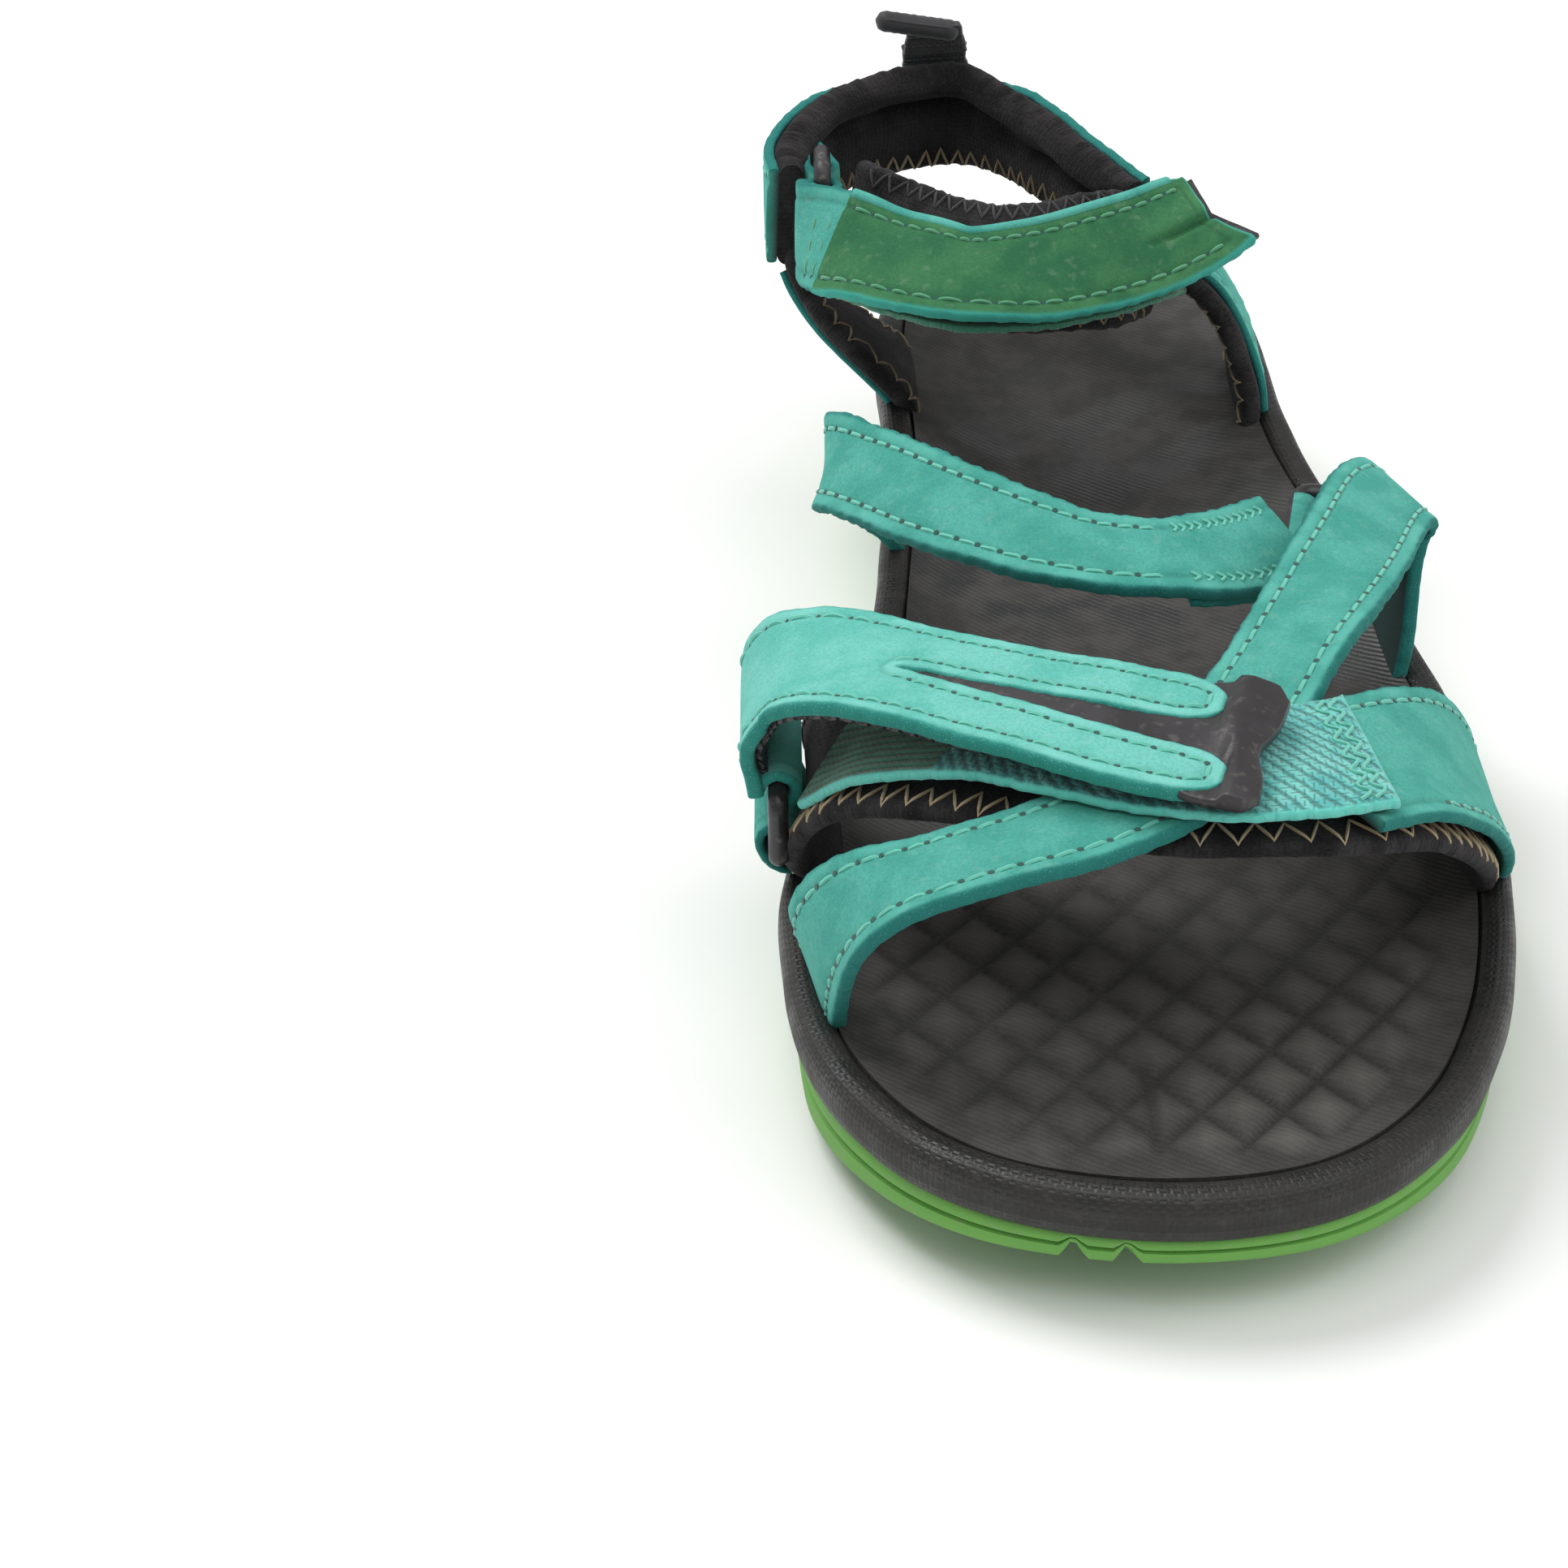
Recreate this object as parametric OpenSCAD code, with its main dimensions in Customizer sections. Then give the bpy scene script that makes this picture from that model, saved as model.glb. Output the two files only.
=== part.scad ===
// Strappy sport sandal, left foot: moulded sole unit, nubuck straps and two cinch closures.
// Toe points to -Y, heel to +Y, outer side of the foot to +X, and the ground is z = 0.

/* [Sole] */
// Height of the moulded tread and outsole
outsole_h = 3.4; // [3:0.2:3.8]
// Depth of the tread grooves
groove_d = 1.6; // [1:0.2:2.2]
// Width of the tread grooves
groove_w = 2.8; // [2:0.2:4]
// Distance from one groove to the next
groove_pitch = 14; // [12:1:18]
// Toe spring: the angle at which the tread lifts in front of the ball
spring_deg = 8; // [5:0.5:8]
// Width of the rolled rubber rand round the footbed
rand_w = 4.8; // [4:0.2:6]
// Height of the rolled rubber rand
rand_h = 6.6; // [6:0.2:7]
// Thickness of the textile layer on the footbed
cover_t = 1.2; // [0.8:0.2:1.6]
// Depth of the hollow in the heel seat
heel_dish = 5; // [3:1:6]

/* [Straps] */
// Width of the narrow straps over the toes and the instep
strap_w = 15; // [13:1:16]
// Thickness of a narrow strap: nubuck and backing together
strap_t = 2; // [1.6:0.2:2.2]
// Width of the forefoot closure
forefoot_w = 23; // [21:1:24]
// Width of the ankle closure
ankle_w = 16.5; // [15:0.5:18]
// Thickness of a nubuck closure flap
flap_t = 2; // [1.6:0.2:2.2]
// Thickness of the ribbed loop webbing
web_t = 1.4; // [1.2:0.2:1.6]
// Thickness of the hook patches
hook_t = 1; // [0.8:0.2:1.2]
// Thickness of the neoprene lining bands
lining_t = 2.4; // [2:0.2:2.6]

/* [Collar] */
// Thickness of the padded heel lining
collar_t = 3.6; // [3:0.2:4]
// Thickness of the nubuck cover outside the lining
cover_nubuck_t = 1.6; // [1.2:0.2:1.8]

/* [Hardware] */
// Diameter of the moulded ring bars
ring_wire = 2.6; // [2.2:0.2:2.8]
// Corner radius of the rings, at the middle of the bar
ring_corner = 1.6; // [1.6:0.2:2.2]

/* [Hidden] */

// Struts that hold the collar up, and the thin skins and loops sewn over them
strut_t = collar_t - 0.6;
skin_t = 1.2;

nubuck = [0.30, 0.72, 0.63];
neoprene = [0.08, 0.08, 0.07];
moulded = [0.20, 0.19, 0.20];
sole_green = [0.43, 0.68, 0.31];

// Where the tread starts to lift towards the toe, and the steps along each spline
flex_y = -65;
outline_steps = 3;
route_steps = 3;

// Edge of the sole at the rand, from the back of the heel forward along the inner side and back
// along the outer side: [x, y]
sole_edge = [[3, 132], [-11, 129], [-20.5, 118], [-26, 102], [-27, 84], [-26.4, 66], [-26.6, 48],
  [-28, 30], [-29.5, 12], [-31, -6], [-35, -24], [-40.5, -40], [-43.3, -56], [-42.8, -72], [-41, -87],
  [-36.5, -99.5], [-29, -110.5], [-18, -118.3], [-2, -122.3], [14, -120.7], [26, -114], [36, -102],
  [43, -85.5], [47.3, -68], [49.7, -48], [49.2, -28], [47.5, -8], [44, 12], [40.3, 34], [36.3, 56],
  [34.5, 76], [33.5, 96], [29, 115], [18, 128]];
// Height of the rand's top edge along the sole: [y, z]
rim_heights = [[-122, 18.5], [-60, 18], [0, 22], [60, 28], [132, 34]];
// How deep the footbed is dished along the sole: [y, depth]
dish_depths = [[-122, 0.8], [-60, 1.5], [0, 2.5], [60, heel_dish - 1], [110, heel_dish], [132, heel_dish]];
// Middle of the sole, which the rings of each slab shrink towards, and how far each ring has shrunk
sole_mid = [3, 4];
slab_rings = [0.02, 0.4, 0.6, 0.8, 1];
// How far the tread and the footbed stand in from the edge, and how far the rand stands above the bed
tread_inset = 3.5;
footbed_inset = rand_w - 0.4;
rim_stand = 1;
footbed_t = rand_h - rim_stand - cover_t;
// Where the two notches in the front edge of the tread are, and their width
notch_x = [-11, -5.5];
notch_w = 2.2;
// Stiff plate under the arch and soft plug under the heel
shank_at = [6, 10];
shank_w = 17;
shank_l = 72;
shank_t = 1.6;
cushion_at = [3, 92];
cushion_d = 38;
cushion_h = 9;

// Strap routes. Each point is the strap's middle [x, y, z], then the way its width runs
// [wx, wy, wz], then its width.
toe_route = [
  [-35.5, -76, 11, -0.3, 0.8, 0.5, strap_w], [-38.3, -78.5, 19, -0.3, 0.75, 0.6, strap_w],
  [-39, -83, 26.5, -0.35, 0.75, 0.5, strap_w], [-36.5, -87, 33.5, -0.3, 0.9, 0.2, strap_w],
  [-31, -90, 39.2, -0.2, 0.96, 0, strap_w], [-22, -90.5, 43.2, -0.05, 1, 0, strap_w],
  [-8, -87, 45.4, 0.1, 1, 0.05, strap_w], [4, -77.5, 45.8, -0.1, 0.97, -0.05, strap_w],
  [13, -62, 45.9, -0.45, 0.88, 0, strap_w], [22, -45, 48.4, -0.37, 0.92, -0.05, strap_w],
  [31.5, -23, 48.5, -0.3, 0.93, 0.15, strap_w], [38, -5, 47, -0.33, 0.93, 0.15, strap_w],
  [41.6, 1.5, 44.4, -0.4, 0.9, 0.1, strap_w], [42.6, 3, 38.5, -0.2, 0.97, 0, strap_w],
  [42.8, 2.5, 31, -0.1, 1, 0, strap_w], [42, 1.5, 23, -0.1, 1, 0, strap_w],
  [40.3, 0, 14, -0.1, 1, 0, strap_w]];
instep_route = [
  [-22.5, 38, 16, 0, 1, -0.1, 14], [-26, 35, 26, 0, 1, 0.1, 14], [-31.5, 28, 36, 0.05, 0.9, 0.4, 14],
  [-35, 18.5, 43, 0.05, 0.92, 0.35, 14], [-34.5, 9.5, 47, 0.1, 0.92, 0.35, 14],
  [-28, -2, 49.5, 0.2, 0.88, 0.44, 14],
  [-19.5, -14, 51, 0.32, 0.82, 0.46, 14], [-6, -23.5, 50.3, 0.28, 0.91, 0.3, 14],
  [7.5, -25, 49, 0.22, 0.95, 0.22, 14], [17, -20.3, 47.3, 0.17, 0.95, 0.27, 14],
  [24.3, -14, 46.4, 0.18, 0.94, 0.27, 14]];
forefoot_flap_route = [
  [-46.4, -46.4, 35.3, 0, 0.99, 0.12, forefoot_w], [-46.7, -47.6, 40.5, 0, 0.99, 0.13, forefoot_w],
  [-44.4, -49.8, 45.6, 0.05, 0.99, 0.1, forefoot_w], [-39.5, -52.3, 48.9, 0.14, 0.99, 0.05, forefoot_w],
  [-30, -59, 51.2, 0.2, 0.98, -0.03, forefoot_w], [-13, -70, 52.6, 0.25, 0.96, 0.02, forefoot_w],
  [-2, -76, 52.6, 0.12, 0.98, 0.08, forefoot_w], [7, -79, 52, -0.1, 0.99, 0.1, forefoot_w]];
forefoot_web_route = [
  [-35.5, -52.2, 37.8, 0.1, 0.99, 0.08, forefoot_w - 1],
  [-28, -59.5, 43.2, 0.2, 0.98, 0, forefoot_w - 1], [-16, -67.5, 47.5, 0.25, 0.96, 0.02, forefoot_w - 1],
  [-4, -75, 49, 0.12, 0.98, 0.08, forefoot_w - 1], [8, -78.5, 48.7, -0.05, 0.99, 0.1, forefoot_w - 1],
  [18, -77.5, 48.2, -0.05, 1, 0.05, forefoot_w - 1], [27, -72.5, 46.9, 0, 1, 0.03, forefoot_w - 1]];
forefoot_panel_route = [
  [20, -77, 46.2, -0.03, 1, 0.03, forefoot_w], [31, -68, 42.9, 0, 1, 0.03, forefoot_w],
  [39.2, -59, 37.2, 0, 1, 0.06, forefoot_w], [44.8, -50, 29.5, -0.05, 0.99, 0.13, forefoot_w],
  [46.9, -44.5, 22, -0.05, 1, 0.05, forefoot_w], [45.2, -42, 13, 0, 1, 0, forefoot_w]];
forefoot_lining_route = [
  [-34.5, -39, 12, 0, 1, 0, 26], [-36.8, -40, 19, 0, 1, 0, 26], [-38.6, -43.5, 26, 0.05, 0.99, 0.1, 26],
  [-36.8, -49, 31.6, 0.1, 0.99, 0.08, 26], [-31, -55, 36.8, 0.2, 0.98, 0, 26],
  [-22, -62, 40.6, 0.25, 0.96, 0.02, 26], [-8, -70, 42.5, 0.2, 0.97, 0.05, 26],
  [6, -75, 43, 0.05, 0.99, 0.05, 26], [20, -73.5, 42, -0.03, 1, 0.03, 26],
  [29.6, -66.5, 39.2, 0, 1, 0.03, 26], [36.8, -58.3, 34, 0, 1, 0.06, 26],
  [41.9, -49.5, 27.5, -0.05, 0.99, 0.13, 26],
  [43.7, -44.5, 20.5, -0.05, 1, 0.05, 26], [42.4, -42, 12, 0, 1, 0, 26]];
ankle_flap_route = [
  [-38.6, 75, 56.3, 0, 0, 1, ankle_w - 1.5], [-38.4, 71.4, 56.6, 0.05, 0.1, 1, ankle_w - 1],
  [-35.5, 67, 57.4, 0.15, 0.5, 0.85, ankle_w - 0.5], [-30, 60.3, 58, 0.1, 0.85, 0.5, ankle_w],
  [-22, 54.8, 57.8, 0.07, 0.87, 0.48, ankle_w], [-14, 52, 57.3, 0.04, 0.89, 0.46, ankle_w],
  [-2, 54, 57.3, 0.04, 0.8, 0.6, ankle_w], [10.5, 59, 58.4, 0.04, 0.75, 0.66, ankle_w],
  [18, 62.7, 60, 0.06, 0.82, 0.57, ankle_w], [23.5, 66.3, 61.3, -0.05, 0.93, 0.35, ankle_w]];
ankle_web_route = [
  [-31.6, 69.5, 55.8, 0.05, 0.4, 0.9, ankle_w - 2],
  [-27.8, 63.2, 55.2, 0.1, 0.85, 0.5, ankle_w - 1], [-20.8, 57.2, 54.9, 0.07, 0.87, 0.48, ankle_w - 1],
  [-14, 53.8, 54.2, 0.04, 0.89, 0.46, ankle_w - 1], [-2.3, 56.2, 54.4, 0.04, 0.8, 0.6, ankle_w - 1],
  [9.6, 61.4, 55.5, 0.04, 0.75, 0.66, ankle_w - 1], [15, 66.5, 55.6, 0, 0.75, 0.66, ankle_w - 1],
  [17.2, 72, 53.5, -0.1, 0.75, 0.65, ankle_w - 1]];
ankle_lining_route = [
  [-30.2, 81, 56.5, 0.05, 0.2, 0.98, 17], [-27.3, 73, 55.4, 0.1, 0.7, 0.66, 20],
  [-21, 66.3, 54.9, 0.08, 0.75, 0.65, 21], [-12.5, 62, 54.6, 0.09, 0.76, 0.64, 21],
  [-4, 61.5, 54.5, 0.1, 0.74, 0.66, 21], [4, 64, 54.3, 0.1, 0.72, 0.68, 21],
  [10, 70, 53, 0.05, 0.7, 0.7, 20], [13.5, 75, 51.5, 0, 0.7, 0.7, 18]];
collar_route = [
  [-40.6, 82, 55.5, 0, 0.1, 1, 18], [-40.6, 88.5, 57, 0, 0, 1, 18], [-36, 99, 59.2, 0, -0.2, 0.98, 18],
  [-27, 107.5, 60.8, 0, -0.3, 0.95, 18.5], [-14, 111, 61.3, 0, -0.35, 0.94, 19],
  [-5.5, 105.6, 60, -0.1, -0.3, 0.95, 16.5], [0.5, 97, 58.7, -0.1, -0.1, 0.98, 14.5],
  [6, 88, 57, -0.15, 0, 0.98, 13.5], [12, 80.5, 54.6, -0.3, 0.1, 0.95, 14]];
lateral_strut_route = [
  [12, 80.5, 54.6, -0.3, 0.1, 0.95, 14], [18.5, 78, 51, -0.4, 0.6, 0.7, 16],
  [24, 77, 44.5, -0.2, 0.93, 0.3, 19], [28.3, 76.5, 36.5, 0, 1, 0.05, 23], [29.8, 76, 29, 0, 1, 0, 24],
  [28.8, 76, 20, 0, 1, 0, 24]];
medial_strut_route = [
  [-40.2, 90, 48.5, 0, 1, 0, 13], [-39.2, 89, 44.5, 0, 1, -0.05, 14], [-35.5, 86, 39.5, 0, 1, -0.1, 17],
  [-28.5, 82, 34, 0, 1, -0.05, 22], [-23.2, 81, 28.5, 0, 1, 0, 24], [-21.6, 80, 20, 0, 1, 0, 24]];
tab_base_route = [
  [-14.3, 118.6, 53.5, 1, 0, 0, 8], [-14.5, 115.8, 61, 1, 0, 0, 8], [-14.8, 112.6, 69.8, 1, 0.05, -0.05, 8]];
tab_stem_route = [
  [-15.5, 109, 72.8, 1, 0.1, -0.1, 8], [-16.1, 108.4, 74.6, 1, 0.1, -0.15, 8.2],
  [-17, 107.8, 76.4, 1, 0.12, -0.2, 9]];
forefoot_tab_route = [
  [6.4, -79, 52.4, -0.1, 0.99, 0.1, forefoot_w + 0.6], [11, -79.7, 52, -0.12, 0.99, 0.1, forefoot_w + 0.6],
  [14, -79.7, 51.6, -0.12, 0.99, 0.1, forefoot_w - 2]];
ankle_tab_route = [
  [23.1, 66, 61.3, -0.05, 0.93, 0.35, ankle_w + 0.4], [25, 67.5, 61.6, -0.05, 0.93, 0.35, ankle_w + 0.4],
  [26.8, 68.8, 61.9, -0.05, 0.93, 0.35, ankle_w - 2]];
forefoot_anchor_route = [
  [-37.4, -40, 13, 0, 1, 0, 20], [-40, -40.8, 20, 0, 1, 0.05, 20], [-41.3, -43.4, 24, 0, 0.99, 0.12, 20],
  [-41.7, -44.6, 27, 0, 0.99, 0.12, 20], [-43.6, -44.9, 28.2, 0, 0.99, 0.12, 20],
  [-45.6, -44.6, 26.8, 0, 0.99, 0.12, 20], [-45.3, -43.4, 23.4, 0, 0.99, 0.12, 20],
  [-41.8, -40.8, 19.6, 0, 1, 0.05, 20], [-38.9, -40, 13, 0, 1, 0, 20]];
ankle_anchor_route = [
  [-37.6, 91.5, 57.2, 0, 0, 1, 13.6], [-37.9, 87, 56.9, 0, 0, 1, 13.6], [-37.7, 82.8, 56.7, 0, 0, 1, 13.6],
  [-35.6, 80.3, 56.5, 0, 0, 1, 13.6], [-33.5, 82.8, 56.7, 0, 0, 1, 13.6], [-34.6, 87, 56.9, 0, 0, 1, 13.6],
  [-36.1, 91.5, 57.2, 0, 0, 1, 13.6]];

// Joint lines: the ring bar that each closure folds round
forefoot_ring_at = [-43.6, -45.6, 30.4];
ankle_ring_at = [-35.6, 78.25, 56.3];
instep_ring_at = [30, -10, 44.5];

// Splines through hand-set points of any length
function ease(a, b, c, d, t) =
  0.5 * (2 * b + (c - a) * t + (2 * a - 5 * b + 4 * c - d) * t * t + (3 * b - 3 * c + d - a) * t * t * t);
function open_spline(p, steps) = [
  for (i = [0:len(p) - 2], s = [0:steps - 1])
    ease(p[max(i - 1, 0)], p[i], p[i + 1], p[min(i + 2, len(p) - 1)], s / steps),
  p[len(p) - 1]];
function closed_spline(p, steps) = let (n = len(p)) [
  for (i = [0:n - 1], s = [0:steps - 1])
    ease(p[(i + n - 1) % n], p[i], p[(i + 1) % n], p[(i + 2) % n], s / steps)];
function unit(v) = v / norm(v);
function at(r) = [r[0], r[1], r[2]];
function way(r) = [r[3], r[4], r[5]];

// Sole outline, moved inward by a distance, and heights along the sole
edge_points = closed_spline(sole_edge, outline_steps);
function inward(p, i) = let (n = len(p), t = unit(p[(i + 1) % n] - p[(i + n - 1) % n])) [-t[1], t[0]];
function outline(inset) =
  [for (i = [0:len(edge_points) - 1]) edge_points[i] + inset * inward(edge_points, i)];
function rim_z(y) = lookup(y, rim_heights);
function ground_z(y) = max(0, (flex_y - y) * tan(spring_deg));
function bed_z(y, s) = rim_z(y) - rim_stand - cover_t - lookup(y, dish_depths) * (1 - s * s);
function towards_mid(p, s) = sole_mid + s * (p - sole_mid);

// A closed solid from rings of points, each as long as the others
module loft(rings) {
  n = len(rings[0]);
  m = len(rings);
  polyhedron(
    points = [for (r = rings, p = r) p],
    faces = concat(
      [[for (i = [0:n - 1]) i]],
      [for (k = [0:m - 2], i = [0:n - 1]) [k * n + (i + 1) % n, k * n + i, (k + 1) * n + i]],
      [for (k = [0:m - 2], i = [0:n - 1]) [k * n + (i + 1) % n, (k + 1) * n + i, (k + 1) * n + (i + 1) % n]],
      [[for (i = [0:n - 1]) m * n - 1 - i]]));
}

// A strap: a flat band of the given thickness along a route, moved along its own normal by lift,
// from the route's first point to its last, or between two points of it
module strap(route, thick, lift = 0, grow = 0, from = 0, to = undef) {
  r = open_spline(route, route_steps);
  last = len(r) - 1;
  end = is_undef(to) ? last : to * route_steps;
  loft([for (i = [from * route_steps:end])
    let (
      t = unit(at(r[min(i + 1, last)]) - at(r[max(i - 1, 0)])),
      w0 = way(r[i]),
      w = unit(w0 - (w0 * t) * t),
      n = cross(t, w),
      p = at(r[i]) + lift * n,
      a = w * (r[i][6] + grow) / 2,
      b = n * thick / 2)
    [p - a - b, p + a - b, p + a + b, p - a + b]]);
}

// A moulded rectangular ring in the XY plane, its long bars along X
module bar_ring(bar, gap) {
  r = ring_corner;
  for (s = [-1, 1]) {
    translate([-bar / 2, s * gap / 2, 0])
      rotate([0, 90, 0])
        cylinder(d = ring_wire, h = bar, $fn = 24);
    translate([s * (bar / 2 + r), gap / 2 - r, 0])
      rotate([90, 0, 0])
        cylinder(d = ring_wire, h = gap - 2 * r, $fn = 24);
  }
  for (q = [0:3]) {
    translate([(q == 0 || q == 3 ? 1 : -1) * bar / 2, (q < 2 ? 1 : -1) * (gap / 2 - r), 0])
      rotate([0, 0, 90 * q])
        rotate_extrude(angle = 90, $fn = 48)
          translate([r, 0])
            circle(d = ring_wire, $fn = 24);
  }
}

// One slab of the sole between two height functions, with the given inset from the edge
module slab(inset, low, high) {
  o = outline(inset);
  last = len(slab_rings) - 1;
  loft(concat(
    [for (s = slab_rings) [for (p = o) let (q = towards_mid(p, s)) [q[0], q[1], low(q[1], s)]]],
    [for (k = [last:-1:0]) let (s = slab_rings[k])
      [for (p = o) let (q = towards_mid(p, s)) [q[0], q[1], high(q[1], s)]]]));
}

// The tread in plan, cut at the flex line
module tread_plan(front) {
  reach = 140;
  intersection() {
    polygon(outline(tread_inset));
    translate([-reach, front ? flex_y - 2 * reach : flex_y])
      square(2 * reach);
  }
}

// Chevron grooves of the tread, from the first to the last, counted from the middle of the sole
module grooves(first, last_groove) {
  chevron_deg = 16;
  arm = 60;
  for (i = [first:last_groove]) {
    for (s = [-1, 1]) {
      translate([sole_mid[0], (i + 0.5) * groove_pitch, -1])
        rotate([0, 0, s * chevron_deg])
          translate([s > 0 ? 0 : -arm, -groove_w / 2, 0])
            cube([arm, groove_w, groove_d + 1]);
    }
  }
}

// Two small V notches in the front edge of the tread
module toe_notches() {
  for (x = notch_x)
    translate([x, sole_edge[18][1], 0])
      rotate([0, 45, 0])
        cube([notch_w, 2 * groove_pitch, notch_w], center = true);
}

// The stiff plate under the arch and the soft plug under the heel. They fill pockets that open at the
// bottom of the midsole, so a pocket's cutter starts a little lower
module shank_shape(below = 0) {
  translate([shank_at[0], shank_at[1], outsole_h - below])
    linear_extrude(shank_t + below) {
      square([shank_w, shank_l], center = true);
      for (s = [-1, 1])
        translate([0, s * shank_l / 2])
          circle(d = shank_w, $fn = 48);
    }
}
module cushion_shape(below = 0) {
  translate([cushion_at[0], cushion_at[1], outsole_h - below])
    cylinder(d = cushion_d, h = cushion_h + below, $fn = 64);
}

module outsole() color(sole_green) {
  difference() {
    linear_extrude(outsole_h)
      tread_plan(false);
    grooves(-4, 8);
  }
  translate([0, flex_y, 0])
    rotate([-spring_deg, 0, 0])
      translate([0, -flex_y, 0])
        difference() {
          linear_extrude(outsole_h)
            tread_plan(true);
          grooves(-9, -6);
          toe_notches();
        }
}

module midsole() color(sole_green)
  difference() {
    slab(1.5, function(y, s) ground_z(y) + outsole_h, function(y, s) bed_z(y, s) - footbed_t);
    shank_shape(1);
    cushion_shape(1);
  }

module arch_shank() color("silver") shank_shape();
module heel_cushion() color("ivory") cushion_shape();

module edge_rand() color([0.16, 0.15, 0.14]) {
  n = len(edge_points);
  sides = 8;
  mid = outline(rand_w / 2 - 0.4);
  section = [for (a = [0:sides - 1]) let (t = 360 * a / sides + 22.5)
    [rand_w / 2 * cos(t), rand_h / 2 * sin(t)] * 1.06];
  polyhedron(
    points = [for (i = [0:n - 1], c = section)
      let (d = inward(edge_points, i)) [
        mid[i][0] - d[0] * c[0], mid[i][1] - d[1] * c[0], rim_z(mid[i][1]) - rand_h / 2 + c[1]]],
    faces = [for (i = [0:n - 1], k = [0:sides - 1])
      let (j = (i + 1) % n, l = (k + 1) % sides)
        [i * sides + l, j * sides + l, j * sides + k, i * sides + k]]);
}

module footbed() color([0.25, 0.24, 0.23])
  slab(footbed_inset, function(y, s) bed_z(y, s) - footbed_t, function(y, s) bed_z(y, s));

module footbed_cover() color([0.24, 0.23, 0.22])
  slab(footbed_inset, function(y, s) bed_z(y, s), function(y, s) bed_z(y, s) + cover_t);

module toe_strap() color(nubuck) strap(toe_route, strap_t);
module instep_strap() color(nubuck) strap(instep_route, strap_t);
module forefoot_lining() color(neoprene) strap(forefoot_lining_route, lining_t);
module forefoot_panel() color(nubuck) strap(forefoot_panel_route, cover_nubuck_t);
module forefoot_loop_web() color([0.36, 0.79, 0.79]) strap(forefoot_web_route, web_t);
module forefoot_anchor() color(nubuck) strap(forefoot_anchor_route, skin_t);
module forefoot_closure() color(nubuck) strap(forefoot_flap_route, flap_t);
module forefoot_tab() color(moulded) strap(forefoot_tab_route, 2.6);
module ankle_lining() color(neoprene) strap(ankle_lining_route, lining_t);
module ankle_loop_web() color([0.16, 0.42, 0.33]) strap(ankle_web_route, web_t);
module ankle_anchor() color(nubuck) strap(ankle_anchor_route, skin_t);
module ankle_closure() color(nubuck) strap(ankle_flap_route, flap_t);
module ankle_tab() color(moulded) strap(ankle_tab_route, 2.6);

// The hook patches lie under the flaps, clear of the fold and of the moulded tab
module forefoot_hook_patch() color(neoprene)
  strap(forefoot_flap_route, hook_t, -(flap_t + hook_t) / 2, -4, 4, 6);
module ankle_hook_patch() color(neoprene)
  strap(ankle_flap_route, hook_t, -(flap_t + hook_t) / 2, -3, 5, 8);

module forefoot_ring() color(moulded)
  translate(forefoot_ring_at)
    rotate([7, 0, 0])
      rotate([90, 0, 90])
        bar_ring(forefoot_w + 0.8, 9);
module ankle_ring() color(moulded)
  translate(ankle_ring_at)
    rotate([90, -90, 90])
      bar_ring(ankle_w - 0.7, 8.5);
module instep_ring() color(moulded)
  translate(instep_ring_at)
    rotate([12, 0, -12])
      rotate([0, 0, 90])
        bar_ring(strap_w, 8);

module heel_lining() color(neoprene) strap(collar_route, collar_t);
module lateral_strut() color(neoprene) strap(lateral_strut_route, strut_t);
module medial_strut() color(neoprene) strap(medial_strut_route, strut_t);

// Nubuck skins outside the collar and its struts
module lateral_strut_cover() color(nubuck)
  strap(lateral_strut_route, skin_t, (strut_t + skin_t) / 2, -4, 1, 4);
module medial_strut_cover() color(nubuck)
  strap(medial_strut_route, skin_t, -(strut_t + skin_t) / 2, -4, 1, 4);
module heel_cover_medial() color(nubuck)
  strap(collar_route, cover_nubuck_t, -(collar_t + cover_nubuck_t) / 2, -1, 0, 4);
module heel_cover_lateral() color(nubuck)
  strap(collar_route, cover_nubuck_t, -(collar_t + cover_nubuck_t) / 2, -1, 4);
module pull_tab_base() color(neoprene) strap(tab_base_route, skin_t);
module pull_tab() color(neoprene) {
  strap(tab_stem_route, 1.6);
  translate([-27.3, 106.2, 78.4])
    rotate([0, 101, 7])
      cylinder(d = 3.2, h = 15, $fn = 24);
}

outsole();
midsole();
arch_shank();
heel_cushion();
edge_rand();
footbed();
footbed_cover();
toe_strap();
instep_strap();
instep_ring();
forefoot_lining();
forefoot_panel();
forefoot_loop_web();
forefoot_ring();
forefoot_anchor();
forefoot_closure();
forefoot_hook_patch();
forefoot_tab();
ankle_lining();
ankle_loop_web();
ankle_ring();
ankle_anchor();
ankle_closure();
ankle_hook_patch();
ankle_tab();
heel_lining();
lateral_strut();
lateral_strut_cover();
medial_strut();
medial_strut_cover();
heel_cover_medial();
heel_cover_lateral();
pull_tab_base();
pull_tab();
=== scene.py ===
"""Looks of a strappy sport sandal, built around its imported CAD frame.

Each sub-assembly is a class that reads its straps back from the frame, builds finished meshes on them
and dresses them with procedural finishes. Sizes are in metres.
"""

from __future__ import annotations

import logging
import math
from dataclasses import dataclass, field, replace
from enum import Enum
from typing import Callable, Iterable, Sequence

import bpy
import numpy as np
from mathutils import Matrix, Vector
from mathutils.bvhtree import BVHTree

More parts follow.
